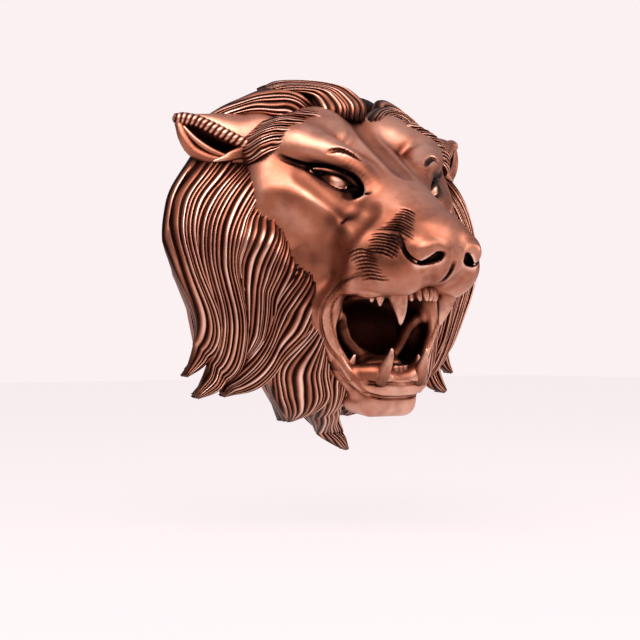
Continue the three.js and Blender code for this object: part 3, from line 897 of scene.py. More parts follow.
    def arced(self, line: Array, share: float) -> tuple[float, float, float]:
        """Return the point at a share of a line that is bowed upwards in the middle."""
        knots = np.linspace(0, 1, len(line))
        x, depth, z = (float(np.interp(share, knots, line[:, i])) for i in range(3))
        return x, depth, z + self.bow * math.sin(math.pi * share)

    def fine_boxes(self) -> list[tuple[Point, Point]]:
        """Say where the skin needs its smallest faces: the wrinkles, nostrils and eyes."""
        return [
            ((22, 146, -30), (76, 240, 52)),
            ((28, 84, 56), (92, 140, 106)),
        ]

    def rubbed(self, clay: Clay, places: Array) -> Array:
        """Work out how rubbed each point is, bare on ridges and black in hollows, with painted shade
        and highlights round the eyes, in the mouth and at listed spots.

        Args:
            clay: The head.
            places: Points on its skin.

        Returns:
            Values from 0 to 1.
        """
        out = clay.normal(places)
        hidden = np.zeros(len(places))
        for reach, weight in self.hollows:
            gap = clay.distance(places + out * reach)
            hidden += weight * np.clip((reach - gap) / reach, 0, 1.2)
        proud = np.zeros(len(places))
        for reach, weight in self.ridges:
            gap = clay.distance(places - out * reach)
            proud += weight * np.clip((reach + gap) / reach, 0, 1)
        half = np.column_stack([np.abs(places[:, 0]), places[:, 1:]])
        value = self.plain_rub + self.ridge_gain * proud - self.hollow_loss * hidden
        value = self.in_mouth(half, value)
        # Listed spots of thicker or thinner brown coat, with painted shade and painted highlights among them.
        for x, depth, z, reach, share in self.film_and_shade:
            apart = np.linalg.norm(half - (x, depth, z), axis=1)
            value -= share * np.exp(-((apart / reach) ** 2))
        value = self.eye_shade_and_highlight(half, value)
        hair_bed = (half[:, 1] < 44) & (half[:, 2] > 128)
        return np.clip(np.where(hair_bed, 0.05, value), 0.0, self.most_rub)

    def in_mouth(self, half: Array, value: Array) -> Array:
        """Paint shade deep in the mouth, with painted sheen inside and a highlight on the cheek fold.

        Args:
            half: Points on the skin, mirrored onto one half of the head.
            value: How rubbed each is so far.

        Returns:
            The new values.
        """
        inside = within(half, *self.mouth_box)
        # Painted shade that deepens into the mouth, over a floor of painted sheen.
        value = value - 0.45 * inside * np.clip((112 - half[:, 1]) / 12, 0, 1)
        value = np.where(inside, np.maximum(value, 0.16), value)
        # A painted highlight along the inner cheek fold; the gum is kept from the brightest tones.
        fold = Rope([(*p, 6.0) for p in self.cheek_fold]).distance(half)
        value = np.where(fold < 1.5, np.maximum(value, 0.36 - 0.14 * np.maximum(fold, 0)), value)
        return np.where(within(half, *self.gum_box), np.minimum(value, 0.5), value)

    def eye_shade_and_highlight(self, half: Array, value: Array) -> Array:
        """Paint shade round the eye as under the brow, and a highlight on the eyeball's middle.

        Args:
            half: Points on the skin, mirrored onto one half of the head.
            value: How rubbed each is so far.

        Returns:
            The new values.
        """
        across, depth, z = half.T
        # Painted shade round the eye, as under the brow.
        beside = np.hypot(across - 60, 1.4 * (z - 80))
        value = value - 0.7 * np.exp(-((beside / 21) ** 2)) * (depth > 80)
        # A painted highlight on the middle of the eyeball, darker towards its rim.
        swollen = tuple(radius + 0.6 for radius in self.eye_radii)
        on_eye = Ball(self.eye, swollen).distance(half) < 0.4
        from_iris = np.hypot(across - 59, z - 77.5)
        return np.where(on_eye, np.clip(1.1 - (from_iris / 13.5) ** 2, 0.12, 0.8), value)

    def build(self, material: bpy.types.Material) -> None:
        """Make the head's piece."""
        clay = self.clay()
        piece = Piece("head")
        piece.mesh.free()
        piece.mesh = self.skin.mesh(clay, self.fine_boxes())
        piece.wear_and_light = piece.mesh.verts.layers.float.new(WEAR_AND_LIGHT)
        places = np.array([v.co for v in piece.mesh.verts])
        for vertex, value in zip(piece.mesh.verts, self.rubbed(clay, places)):
            vertex[piece.wear_and_light] = value
        thinned = piece.finish(material).modifiers.new("thinned", "DECIMATE")
        thinned.ratio = self.kept


@dataclass
class Teeth:
    """Four long canines, two-cusped side teeth and the small front teeth."""

    spacing: float = 6.6
    front_count: int = 3
    arc: float = 0.03
    lean: float = 1.5

    def build(self, material: bpy.types.Material) -> None:
        """Make the teeth as one piece."""
        piece = Piece("teeth")
        for side in Side:
            for beads in self.long_teeth():
                strand(piece, flip(beads, side.value), 16, 22, (0.3, 0.88))
            self.front_teeth(piece, side.value)
        piece.finish(material)

    def long_teeth(self) -> list[list[Bead]]:
        """Return the beads of the canines and side teeth on one side."""
        return [
            [
                (34, 170, -14, 12), (32, 172, -28, 12), (30, 173, -42, 9),
                (27, 172, -55, 5.2), (25, 169, -67, 1),
            ],
            [
                (25, 134, -126, 6.4), (24, 139, -116, 7.2), (23, 145, -106, 5.9),
                (22.4, 150, -97, 3.6), (22.5, 153, -88, 0.8),
            ],
            [(43, 160, -24, 6.5), (43, 160, -34, 6.2), (42.5, 159, -42, 3.4), (42, 158, -48, 0.8)],
            [(48, 153, -24, 5.5), (48, 153, -33, 4.8), (47.5, 152, -40, 2.6), (47, 151, -44, 0.8)],
            [(43, 108, -114, 5), (43, 112, -106, 4.4), (42, 115, -99, 2.4), (41, 117, -95, 0.8)],
        ]

    def front_teeth(self, piece: Piece, side: float) -> None:
        """Add the small front teeth of one side in two shallow arcs."""
        for i in range(self.front_count):
            across = self.spacing * (i + 0.5)
            back = self.arc * across * across
            x = side * across
            lean = side * self.lean
            upper = [(x, 180 - back, -28, 4.2), (x, 182 - back, -35, 3.7), (x - lean, 183 - back, -43, 1.6)]
            lower = [(x, 133 - back, -118, 4.0), (x, 135 - back, -110, 3.8), (x, 136 - back, -105.5, 2.4)]
            strand(piece, upper, 10, 10, (0.3, 0.85))
            strand(piece, lower, 10, 10, (0.1, 0.75), 0.9)


# The mane


@dataclass
class Dome:
    """The swell of the mane out from the wall."""

    half_width: float = 206.0
    up: float = 196.0
    down: float = 172.0
    centre: float = -8.0
    taper: float = 0.22
    rim: float = 17.0
    rise: float = 71.0
    flare: float = 0.7
    # The collar's crest on one half: x, z and depth.
    collar: tuple = (
        (122, 14, 84), (106, -8, 90), (86, -22, 95), (71, -45, 97),
        (68, -69, 97), (54, -98, 97), (41, -124, 92), (27, -142, 62),
    )
    collar_fall: float = 0.03
    collar_blend: float = 8.0
    nowhere: float = -100.0

    def depth(self, x: Array, z: Array) -> Array:
        """Return how far the mane stands out at (x, z), with the collar that wraps cheek and jaw."""
        half = self.half_width - self.taper * np.maximum(0, -z)
        tall = np.where(z > self.centre, self.up, self.down)
        inside = 1 - (x / half) ** 2 - ((z - self.centre) / tall) ** 2
        swell = self.rim + self.rise * np.maximum(0, inside) ** self.flare
        collar = np.full(np.shape(x), self.nowhere)
        for (x0, z0, d0), (x1, z1, d1) in zip(self.collar, self.collar[1:]):
            dx, dz = x1 - x0, z1 - z0
            share = np.clip(((np.abs(x) - x0) * dx + (z - z0) * dz) / (dx**2 + dz**2), 0, 1)
            gap = np.hypot(np.abs(x) - x0 - share * dx, z - z0 - share * dz)
            collar = np.maximum(collar, d0 + share * (d1 - d0) - self.collar_fall * gap**2)
        return -soft_min(-swell, -collar, self.collar_blend)


@dataclass
class Lock:
    """One lock of hair between two edges, with rounded strands running along it.

    An edge is flat, as (x, z) points that are laid on the mane's dome, or has its own depths, as
    (x, depth, z) points. Every size is in millimetres. Strands counts them at the root and ends
    at the tip. Root and tip say how far the lock sinks there, and rings are those of its skirt.
    """

    left: Sequence[Sequence[float]]
    right: Sequence[Sequence[float]]
    strands: float = 6.0
    ends: float = 3.0
    height: float = 4.8
    bulge: float = 7.0
    lift: float = 0.0
    root: float = 0.0
    tip: float = 0.0
    base: float = 0.6
    undercut: float = 11.0
    rings: tuple = ((0.12, 0.5), (0.28, 0.04), (0.45, 0.5), (0.62, 0.05), (0.8, 0.35), (1.0, 0.02))
    rows: int = 84
    seed: float = 0.0
    shaded_root: float = 0.16
    fine: int = 7
    full_width: float = 22.0
    round_edge: float = 2.5
    sink: float = 3.0
    drawn_in: float = 0.42

    def build(self, piece: Piece, dome: Dome) -> None:
        """Add the lock to a piece.

        Args:
            piece: The piece that gets the lock.
            dome: The swell that flat edges are laid on.
        """
        left, right = Rail(self.left), Rail(self.right)
        flat = len(self.left[0]) == 2
        spans: list[Array] = []

        def place(u: Array, s: Array) -> tuple[Array, Array]:
            """Give each point its place on the ridged band."""
            a, b = left.at(s), right.at(s)
            width = np.linalg.norm(a - b, axis=1)
            spans.append(np.where(s < 0.04, 0.0, width))
            here = a + (b - a) * u[:, None]
            x, z = here[:, 0], here[:, -1]
            depth = dome.depth(x, z) if flat else here[:, 1]
            narrow = np.clip(width / self.full_width, 0, 1)
            hump = 1 - (2 * u - 1) ** 2
            ridge, crown = self.strand(u, s)
            fall = self.root * (1 - np.clip(s / 0.2, 0, 1)) ** 2
            fall = fall + self.tip * np.clip((s - 0.7) / 0.3, 0, 1) ** 2
            edge = np.clip(np.minimum(u, 1 - u) * width / self.round_edge, 0, 1) ** 0.5
            depth = depth + self.bulge * narrow * hump
            depth = depth + self.height * (0.25 + 0.75 * narrow) * (ridge * crown * edge)
            depth = depth + self.lift - fall - self.sink + self.height * 0.1
            depth = np.maximum(LEAST_DEPTH, depth)
            wear_and_light = 0.02 + 0.98 * ridge**2.3 * crown * (0.5 + 0.5 * edge)
            # The root end is painted dark, as shade where the lock springs from under the face and the ears.
            wear_and_light = wear_and_light * (0.08 + 0.92 * np.clip(s / self.shaded_root, 0, 1) ** 1.3)
            return np.stack([x, depth, z], axis=1), np.clip(wear_and_light, 0, 1)

        columns = int(round(self.strands * self.fine))
        made = piece.sheet(columns, self.rows, place)
        reach = dict(zip(made, self.drawn_in * spans[0]))
        piece.skirt(made, self.base, self.undercut, reach, self.rings)

    def strand(self, u: Array, s: Array) -> tuple[Array, Array]:
        """Give the strands' round profile at each point.

        Args:
            u: Share across the lock.
            s: Share along it.

        Returns:
            Heights from 0 in a groove to 1 on a strand, and each strand's own strength.
        """
        sway = 0.16 * np.sin(2 * np.pi * (1.3 * s + 0.37 * self.seed))
        sway = sway + 0.1 * np.sin(2 * np.pi * (3.1 * s + self.seed))
        count = self.strands + (self.ends - self.strands) * np.clip((s - 0.45) / 0.55, 0, 1) ** 1.6
        start = 0.035 * math.sin(2 * np.pi * self.seed)
        uneven = u + 0.035 * np.sin(2 * np.pi * (1.7 * u + self.seed)) - start
        phase = count * (uneven - 0.5) + self.strands / 2 + sway * (1 - (2 * u - 1) ** 2)
        index = np.floor(phase)
        ridge = np.abs(np.sin(np.pi * phase)) ** 0.8
        crown = 0.80 + 0.20 * np.sin(index * 2.4 + self.seed * 7 + 4 * s)
        return ridge, crown


def shifted(edge: Sequence[Sequence[float]], rise: float) -> list[tuple[float, ...]]:
    """Return a flat edge whose far end is moved up by rise millimetres."""
    last = len(edge) - 1
    return [(p[0], p[1] + rise * i / last) for i, p in enumerate(edge)]


@dataclass
class Mane:
    """The swept mane: five big locks a side, two under the chin, and short wisps beside the face.

    The edges are flat (x, z) lines on the left half, from a lock's root to its tip.
    """

    dome: Dome = field(default_factory=Dome)
    outer_edge: tuple = (
        (-160, 116), (-186, 86), (-198, 66), (-203, 46), (-205, 26), (-203, 8), (-198, -8),
        (-190, -26), (-181, -43), (-174, -58), (-170, -72), (-168, -88), (-171, -103), (-177, -116),
    )
    outer_inside: tuple = (
        (-118, 110), (-146, 82), (-166, 59), (-176, 34), (-177, 9), (-171, -16), (-160, -41),
        (-152, -61), (-147, -86), (-154, -106), (-175, -118),
    )
    broad_edge: tuple = (
        (-124, 108), (-156, 82), (-174, 59), (-183, 37), (-185, 9), (-179, -16), (-169, -41),
        (-161, -63), (-155, -91), (-154, -114), (-165, -135),
    )
    broad_inside: tuple = (
        (-96, 92), (-118, 58), (-134, 29), (-141, 9), (-141, -16), (-134, -41), (-128, -66),
        (-126, -91), (-127, -117), (-140, -133), (-163, -140),
    )
    short_edge: tuple = (
        (-100, 84), (-130, 50), (-147, 16), (-147, -16), (-141, -41), (-134, -66), (-129, -86), (-127, -101),
    )
    short_inside: tuple = (
        (-84, 24), (-96, -2), (-104, -24), (-107, -46), (-109, -66), (-116, -88), (-125, -101),
    )
    cross_edge: tuple = (
        (-88, 24), (-108, -9), (-114, -26), (-117, -46), (-117, -66), (-121, -88), (-126, -110), (-132, -134),
    )
    cross_inside: tuple = (
        (-60, -34), (-68, -56), (-76, -78), (-86, -100), (-94, -120), (-108, -134), (-130, -139),
    )
    jaw_edge: tuple = (
        (-58, -44), (-80, -66), (-94, -88), (-99, -112), (-88, -134), (-73, -153), (-58, -166),
    )
    jaw_inside: tuple = (
        (-61, -62), (-60, -86), (-51, -113), (-44, -138), (-48, -154), (-55, -165),
    )
    chin_edge: tuple = (
        (-56, -92), (-60, -108), (-58, -128), (-44, -156), (-15, -180), (9, -193), (25, -199),
    )
    chin_inside: tuple = (
        (-20, -112), (-18, -126), (-17, -146), (1, -166), (20, -182), (28, -197),
    )
    # On the right the jaw locks end this much higher, and the strands of every lock lie otherwise.
    jaw_rise: float = 15.0
    seed_shift: float = 0.13
    wisp_roots: tuple = ((123, 26), (117, 10), (110, 0), (98, -14), (84, -28))

    def side_locks(self, side: Side) -> list[Lock]:
        """Return the big locks of one side, outermost first.

        Args:
            side: The half of the mask.

        Returns:
            The locks.
        """
        rise = self.jaw_rise if side is Side.RIGHT else 0.0
        seed = self.seed_shift if side is Side.RIGHT else 0.0
        jaw = [shifted(edge, rise) for edge in (self.jaw_edge, self.jaw_inside)]
        cheek = {"ends": 5, "tip": 2}
        shapes = [
            (self.outer_edge, self.outer_inside, {"strands": 8, "ends": 4, "root": 12, "seed": 0.21}),
            (
                self.broad_edge,
                self.broad_inside,
                {"strands": 12, "ends": 5, "root": 12, "lift": 2, "seed": 0.62},
            ),
            (
                self.short_edge,
                self.short_inside,
                {"strands": 12, "root": 6, "lift": 5, "seed": 0.05, "shaded_root": 0.34, **cheek},
            ),
            (
                self.cross_edge,
                self.cross_inside,
                {"strands": 11, "root": 8, "seed": 0.44, "shaded_root": 0.3, **cheek},
            ),
            (*jaw, {"strands": 13, "ends": 7, "root": 2, "tip": 3, "seed": 0.83, "undercut": 24}),
        ]
        locks = []
        for i, (left, right, sizes) in enumerate(shapes):
            sizes["seed"] += seed
            if side is Side.RIGHT:
                left, right = flip(left), flip(right)
            locks.append(Lock(left, right, base=0.5 + 0.2 * i, **sizes))
        return locks

    def wisps(self, piece: Piece, side: Side) -> None:
        """Lay short curved strands where the mane springs from beside the face."""
        for i, (x, z) in enumerate(curve(self.wisp_roots, 4)):
            turn = 13 + 5 * math.sin(i * 2.1)
            drop = 30 + 12 * math.sin(i * 1.3)
            shares = np.linspace(0, 1, 7)
            angle = np.minimum(shares * 2.2, 1) * math.pi / 2
            out_x = x - 7 + turn * np.sin(angle) + 4 * shares
            out_z = z + 5 - turn * (1 - np.cos(angle)) - drop * np.maximum(0, shares - 0.4) / 0.6
            depth = self.dome.depth(out_x, out_z) + 6.5 - 6 * shares
            thick = 2.0 * np.sin(math.pi * (0.12 + 0.86 * (1 - shares) ** 0.8)) + 0.3
            beads = np.stack([side.value * out_x, depth, out_z, thick], axis=1)
            strand(piece, beads.tolist(), 8, 20, (0.02, 0.5), 0.8)

    def build(self, material: bpy.types.Material) -> None:
        """Make the two halves of the mane and the locks under the chin."""
        for side in Side:
            piece = Piece(f"mane_{side.name.lower()}")
            for shape in self.side_locks(side):
                shape.build(piece, self.dome)
            self.wisps(piece, side)
            piece.finish(material)
        piece = Piece("chin_locks")
        edges = self.chin_edge, self.chin_inside
        long = Lock(*edges, strands=13, ends=6, root=2, seed=0.3, base=1.5, undercut=20)
        left = ((-20, -120), (-22, -132), (-12, -146), (8, -160))
        right = ((62, -104), (54, -124), (36, -146), (12, -161))
        short = Lock(left, right, strands=8, ends=3, rows=50, root=10, tip=6, seed=0.7, base=1.7)
        for lock in (long, short):
            lock.build(piece, self.dome)
        piece.finish(material)


@dataclass
class Crest:
    """The tufts that spring from the forehead: the swept crest, the ear domes and the temples."""

    dome: Dome = field(default_factory=Dome)

    crest: tuple = (
        ((-42, 68, 150), (-42, 60, 163), (-42, 48, 175), (-54, 38, 180), (-68, 30, 181), (-85, 22, 180)),
        (
            (14, 68, 151), (19, 58, 170), (14, 46, 184), (4, 38, 192),
            (-16, 30, 196), (-42, 20, 197), (-66, 16, 194), (-79, 14, 188),
        ),
    )
    wave: tuple = (
        ((12, 70, 148), (22, 66, 158), (38, 55, 168), (56, 48, 173), (84, 40, 171), (116, 28, 157)),
        ((34, 72, 144), (44, 66, 154), (60, 58, 160), (80, 48, 157), (96, 40, 152), (114, 32, 147)),
    )
    ear_dome: tuple = (
        (
            (-40, 50, 167), (-54, 36, 181), (-73, 26, 185), (-91, 20, 181),
            (-112, 15, 171), (-130, 12, 162), (-146, 10, 152),
        ),
        ((-60, 50, 138), (-76, 48, 149), (-90, 42, 151), (-104, 36, 153), (-122, 28, 152), (-142, 14, 144)),
    )
    temple: tuple = (
        ((-30, 68, 152), (-46, 66, 157), (-62, 62, 158), (-80, 58, 153)),
        ((-58, 78, 142), (-78, 72, 147), (-97, 66, 147), (-110, 58, 142)),
        ((-78, 80, 132), (-98, 74, 136), (-116, 66, 134), (-129, 58, 125)),
        ((-92, 80, 122), (-108, 75, 124), (-123, 68, 120), (-134, 60, 110)),
        ((-104, 74, 113), (-112, 70, 109), (-120, 66, 104), (-128, 60, 96)),
    )

    def tufts(self) -> list[Lock]:
        """Return every tuft, the crest first.

        Returns:
            The tufts as locks.
        """
        tufts = [
            Lock(*self.crest, strands=9, ends=5, bulge=6, root=6, tip=2, seed=0.2, base=1.9),
            Lock(*self.wave, strands=6, ends=3, bulge=5, root=6, tip=2, seed=0.5, base=2.1),
        ]
        short = {"strands": 4, "ends": 4, "height": 4.4, "bulge": 1.5, "lift": 5, "root": 3, "tip": 9}
        for side in Side:
            edges = [flip(edge, -side.value) for edge in self.ear_dome]
            tufts.append(Lock(*edges, strands=6, ends=3, bulge=4, root=4, seed=0.4, base=2.3))
            edges = [flip(edge, -side.value) for edge in self.temple]
            for k, pair in enumerate(zip(edges, edges[1:])):
                seed, base = 0.3 + 0.17 * k, 2.5 + 0.1 * k
                tufts.append(
                    Lock(*pair, rows=36, seed=seed, base=base, undercut=4, shaded_root=0.22, **short)
                )
        return tufts

    def build(self, material: bpy.types.Material) -> None:
        """Make the crest's piece."""
        piece = Piece("crest")
        for tuft in self.tufts():
            tuft.build(piece, self.dome)
        piece.finish(material)


@dataclass
class Ears:
    """Laid-back ears: a smooth upper skin, a ribbed rolled rim and a dark hollow with hair in it."""

    ribs: int = 19
    rim: float = 7.0
    undercut: float = 22.0
    # Lines along the ear, from its upper edge over the rim and the hollow to its lower edge.
    lines: tuple = (
        (
            (-80, 52, 146), (-91, 36, 152), (-101, 27, 157), (-116, 18, 158),
            (-136, 12, 154), (-158, 8, 151), (-186, 6, 147),
        ),
        (
            (-84, 60, 136), (-98, 52, 144), (-112, 46, 146), (-128, 40, 143),
            (-146, 28, 147), (-164, 18, 149), (-186, 9, 147),
        ),
        (
            (-96, 62, 118), (-112, 54, 114), (-129, 48, 118), (-146, 38, 126),
            (-160, 24, 138), (-172, 14, 145), (-186, 9, 145),
        ),
        (
            (-100, 54, 108), (-118, 40, 108), (-136, 28, 112), (-152, 20, 118),
            (-166, 14, 128), (-176, 10, 138), (-186, 8, 143),
        ),
        (
            (-106, 48, 104), (-124, 34, 105), (-140, 22, 107), (-156, 16, 112),
            (-168, 11, 120), (-178, 8, 132), (-186, 7, 142),
        ),
        (
            (-108, 50, 102), (-126, 42, 102), (-142, 35, 103), (-158, 28, 104),
            (-170, 20, 112), (-179, 13, 125), (-186, 8, 141),
        ),
        (
            (-110, 46, 98), (-126, 36, 98), (-143, 27, 98), (-160, 18, 99),
            (-173, 11, 108), (-182, 8, 122), (-187, 6, 140),
        ),
    )
    leaves: int = 3
    shade_at: tuple = (0, 1, 2, 2.6, 4, 4.7, 5, 6)
    shade: tuple = (0.5, 0.66, 0.7, 0.05, 0.0, 0.4, 0.7, 0.3)
    rim_line: tuple = (
        (-190, 6, 143), (-180, 11, 144), (-168, 20, 141), (-157, 30, 134),
        (-146, 39, 127), (-133, 47, 120), (-118, 53, 114), (-104, 58, 112),
    )
    roll: tuple = (
        (-185, 9, 142, 3.5), (-181, 13, 125, 5.5), (-172, 18, 111, 6.5), (-158, 27, 103, 6.5),
        (-142, 36, 102, 5.5), (-126, 43, 102, 4.5), (-112, 48, 102, 3.5),
    )
    inner_roll: tuple = (
        (-182, 13, 137, 1.5), (-173, 22, 123, 2.7), (-161, 31, 112, 3.1),
        (-149, 38, 106, 2.6), (-138, 43, 104, 1),
    )

    def skin(self, piece: Piece, side: float) -> None:
        """Make the ear's skin over its lines."""
        rails = [Rail(line) for line in self.lines]

        def place(u: Array, s: Array) -> tuple[Array, Array]:
            """Give each point its place on the ear's section."""
            knots = np.stack([rail.at(s) for rail in rails])
            t = u * (len(rails) - 1)
            i = np.clip(t.astype(int), 0, len(rails) - 2)
            f = (t - i)[:, None]
            near = [knots[np.clip(i + k, 0, len(rails) - 1), np.arange(len(u))] for k in (-1, 0, 1, 2)]
            co = spline(*near, f)
            co[:, 0] *= -side
            co[:, 1] = np.maximum(co[:, 1], LEAST_DEPTH)
            shade = np.interp(t, self.shade_at, self.shade)
            return co, shade * (0.4 + 0.6 * np.clip(s / 0.2, 0, 1))

        piece.skirt(piece.sheet(72, 60, place), 2.7, self.undercut)

    def rolled_rim(self, piece: Piece, side: float) -> None:
        """Roll the rim with slanting ribs."""
        rail = Rail(self.rim_line)

        def place(u: Array, s: Array) -> tuple[Array, Array]:
            """Give each point its place round the rim."""
            centre = rail.at(s)
            ahead = rail.at(np.minimum(s + 0.01, 1)) - rail.at(np.maximum(s - 0.01, 0))
            ahead /= np.linalg.norm(ahead, axis=1)[:, None] + 1e-9
            across = np.cross(ahead, np.array([0.0, 1.0, 0.0]))
            across /= np.linalg.norm(across, axis=1)[:, None] + 1e-9
            out = np.cross(across, ahead)
            sizes = [5.0, self.rim * 0.95, self.rim, self.rim * 0.85, 3.5]
            radius = np.interp(s, [0, 0.1, 0.45, 0.8, 1], sizes)
            rib = np.abs(np.sin(np.pi * (self.ribs * s + 1.7 * u))) ** 0.7
            radius = radius * (0.84 + 0.18 * rib) * np.sqrt(np.clip(np.minimum(s, 1 - s) / 0.03, 0, 1))
            turn = 2 * np.pi * u
            co = centre + across * (radius * np.cos(turn))[:, None] + out * (radius * np.sin(turn))[:, None]
            co[:, 0] *= -side
            return co, 0.05 + 0.8 * rib**1.8

        piece.tube(24, self.ribs * 10, place)

    def hair(self, piece: Piece, side: float) -> None:
        """Roll the smooth lower rim and lay the tuft of strands in the hollow."""
        strand(piece, flip(self.roll, -side), 16, 40, (0.62, 0.4))
        strand(piece, flip(self.inner_roll, -side), 10, 30, (0.75, 0.5))
        for i in range(self.leaves):
            beads = [
                (-122, 51 - i, 113 - 3 * i, 1.5),
                (-132 - i, 49 - i, 112 - 3 * i, 3.4),
                (-143 - 2 * i, 45 - i, 107 - 2 * i, 3.6),
                (-155 - 3 * i, 38 - i, 101 - i, 0.8),
            ]
            strand(piece, flip(beads, -side), 10, 20, (0.15, 0.9), 0.8)

    def build(self, material: bpy.types.Material) -> None:
        """Make both ears."""
        piece = Piece("ears")
        for side in Side:
            self.skin(piece, side.value)
            self.rolled_rim(piece, side.value)
            self.hair(piece, side.value)
        piece.finish(material)


@dataclass
class Back:
    """The flat back of the casting with its blind hanging slot."""

    thick: float = 12.5
    inset: float = 2.2
    slot_half: float = 9.0
    slot_low: float = 108.0
    slot_high: float = 138.0
    rubbed: float = 0.5
    flatness: float = 0.01

    def build(self, material: bpy.types.Material) -> None:
        """Cut the back from the solid, so that its outline and slot are the solid's own."""
        piece = Piece("flat_back")
        piece.mesh.from_mesh(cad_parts["lion_mask"].data)
        bmesh.ops.remove_doubles(piece.mesh, verts=piece.mesh.verts, dist=1e-6)
        geometry = [*piece.mesh.verts, *piece.mesh.edges, *piece.mesh.faces]
        plane = {"plane_co": (0, -self.thick * MM, 0), "plane_no": (0, -1, 0)}
        bmesh.ops.bisect_plane(piece.mesh, geom=geometry, clear_outer=True, **plane)
        piece.mesh.normal_update()
        piece.wear_and_light = piece.mesh.verts.layers.float.get(WEAR_AND_LIGHT) or piece.mesh.verts.layers.float.new(WEAR_AND_LIGHT)
        for vertex in piece.mesh.verts:
            x, z = vertex.co.x / MM, vertex.co.z / MM
            in_slot = abs(x) < self.slot_half and self.slot_low < z < self.slot_high
            out = Vector((vertex.normal.x, 0.0, vertex.normal.z))
            if not in_slot and out.length > 1e-6:
                vertex.co -= out.normalized() * self.inset * MM
            vertex[piece.wear_and_light] = self.rubbed
            vertex.co = (vertex.co.x / MM, -vertex.co.y / MM, vertex.co.z / MM)
        flat = [face for face in piece.mesh.faces if self.on_wall(face)]
        inner = [edge for edge in piece.mesh.edges if self.on_wall(edge)]
        inner = [e for e in inner if len(e.link_faces) == 2 and all(f in flat for f in e.link_faces)]
        bmesh.ops.beautify_fill(piece.mesh, faces=flat, edges=inner)
        made = piece.finish(material)
        made.data.shade_flat()

    def on_wall(self, part: bmesh.types.BMFace | bmesh.types.BMEdge) -> bool:
        """Say whether every corner of a face or an edge touches the wall."""
        return all(abs(v.co.y) < self.flatness for v in part.verts)


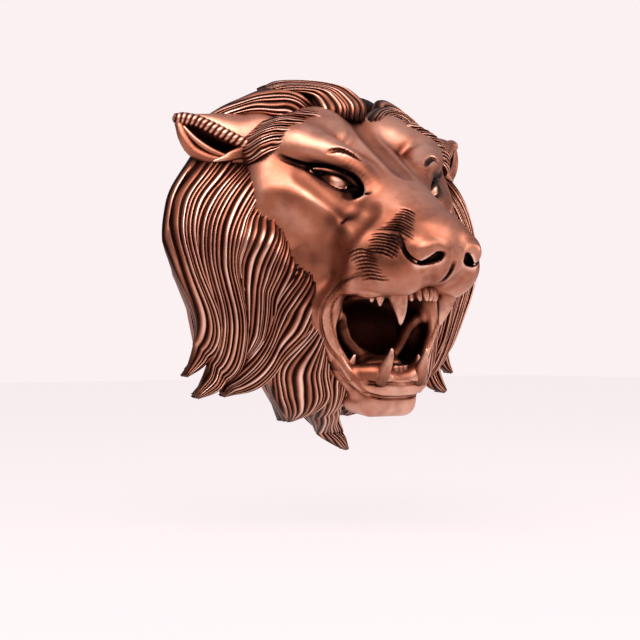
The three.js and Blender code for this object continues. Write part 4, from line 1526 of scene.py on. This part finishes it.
@dataclass
class Stage:
    """Camera, soft studio light and a pale floor."""

    azimuth: float = -36.0
    elevation: float = -3.0
    distance: float = 1.65
    focal_px: float = 1518.0
    photo_px: float = 640.0
    shift_px: float = -54.0
    backdrop: str = "#FBF1F2"
    floor_tone: str = "#5A5657"
    floor_drop: float = 0.08
    floor_size: float = 6.0
    lamp_distance: float = 1.9
    middle: Point = (0.0, -0.1, 0.0)

    def toward(self, azimuth: float, elevation: float) -> Vector:
        """Return the unit direction from the mask towards a viewer at these angles in degrees."""
        a, e = math.radians(azimuth), math.radians(elevation)
        return Vector((math.sin(a) * math.cos(e), -math.cos(a) * math.cos(e), math.sin(e)))

    def camera(self) -> None:
        """Set the camera where the photograph was taken from."""
        data = bpy.data.cameras.new("view")
        data.sensor_width = 36.0
        data.lens = self.focal_px / self.photo_px * data.sensor_width
        data.shift_y = self.shift_px / self.photo_px
        data.clip_end = 100.0
        camera = bpy.data.objects.new("view", data)
        bpy.context.scene.collection.objects.link(camera)
        back = self.toward(self.azimuth, self.elevation)
        camera.location = back * self.distance
        camera.rotation_euler = (-back).to_track_quat("-Z", "Y").to_euler()
        bpy.context.scene.camera = camera

    def lamp(self, name: str, azimuth: float, elevation: float, size: float, power: float, tint: str) -> None:
        """Hang a soft square lamp facing the mask.

        Args:
            name: The lamp's name.
            azimuth: Its direction round the mask in degrees.
            elevation: Its height in degrees.
            size: Its side in metres.
            power: Its power in watts.
            tint: Its colour.
        """
        data = bpy.data.lights.new(name, "AREA")
        data.size, data.energy = size, power
        data.color = linear(tint)[:3]
        lamp = bpy.data.objects.new(name, data)
        bpy.context.scene.collection.objects.link(lamp)
        direction = self.toward(azimuth, elevation)
        lamp.location = direction * self.lamp_distance + Vector(self.middle)
        lamp.rotation_euler = (-direction).to_track_quat("-Z", "Y").to_euler()

    def world(self) -> None:
        """Show a pale backdrop to the camera, and to the metal a room that is dim low down."""
        world = bpy.data.worlds.new("studio")
        bpy.context.scene.world = world
        world.use_nodes = True
        tree = world.node_tree
        output = tree.nodes["World Output"]
        direction = add_node(tree, "ShaderNodeTexCoord", {}, {}).outputs["Generated"]
        height = add_node(tree, "ShaderNodeSeparateXYZ", {}, {"Vector": direction}).outputs["Z"]
        share = add_node(tree, "ShaderNodeMapRange", {"From Min": -1.0, "From Max": 1.0}, {"Value": height})
        room = add_node(tree, "ShaderNodeValToRGB", {}, {"Fac": share.outputs["Result"]})
        low_down = [(0.0, "#120B0A"), (0.42, "#2C2220")]
        ramp(room, [*low_down, (0.52, "#5C5050"), (0.68, "#A39A9E"), (1.0, "#F2ECF2")])
        seen = add_node(tree, "ShaderNodeLightPath", {}, {}).outputs["Is Camera Ray"]
        around = add_node(tree, "ShaderNodeBackground", {"Strength": 0.9}, {"Color": room.outputs["Color"]})
        pale = add_node(tree, "ShaderNodeBackground", {"Color": linear(self.backdrop), "Strength": 1.0}, {})
        sources = {0: seen, 1: around.outputs[0], 2: pale.outputs[0]}
        both = add_node(tree, "ShaderNodeMixShader", {}, sources)
        tree.links.new(both.outputs[0], output.inputs["Surface"])

    def floor(self) -> None:
        """Lay the pale floor under the mask."""
        material = bpy.data.materials.new("pale_floor")
        material.use_nodes = True
        shader = material.node_tree.nodes["Principled BSDF"]
        shader.inputs["Base Color"].default_value = linear(self.floor_tone)
        shader.inputs["Roughness"].default_value = 1.0
        shader.inputs["Specular IOR Level"].default_value = 0.0
        shader.inputs["Emission Color"].default_value = linear(self.backdrop)
        shader.inputs["Emission Strength"].default_value = 0.9
        mesh = bmesh.new()
        bmesh.ops.create_grid(mesh, x_segments=2, y_segments=2, size=self.floor_size)
        bmesh.ops.translate(mesh, verts=mesh.verts, vec=(0, 0, CAD_BOX[0][2] - self.floor_drop))
        data = bpy.data.meshes.new("floor")
        mesh.to_mesh(data)
        mesh.free()
        data.materials.append(material)
        floor = bpy.data.objects.new("floor", data)
        bpy.context.scene.collection.objects.link(floor)

    def build(self) -> None:
        """Set the whole stage."""
        self.camera()
        self.world()
        self.lamp("high_key", -52, 46, 1.5, 40, "#FFF6F6")
        self.lamp("front_fill", 2, 34, 1.6, 20, "#FFF4F2")
        self.lamp("right_rim", 70, 10, 0.8, 10, "#FFF2EA")
        self.floor()
        bpy.context.scene.view_settings.view_transform = "Standard"


def main() -> None:
    """Build the mask in order and put it on its stage."""
    logging.basicConfig(level=logging.INFO, format="%(name)s %(message)s")
    Stage().build()
    copper = AntiqueCopper("antique_copper").make()
    pale = {"copper": "#AE745D", "bright": "#DFAC95", "bare": "#F8DCD0"}
    tooth_copper = AntiqueCopper("rubbed_tooth_copper", **pale, cloud_mm=9, streak_mm=6).make()
    Face().build(copper)
    Teeth().build(tooth_copper)
    Mane().build(copper)
    Crest().build(copper)
    Ears().build(copper)
    Back().build(copper)
    bpy.context.view_layer.update()


if __name__ == "__main__":
    main()
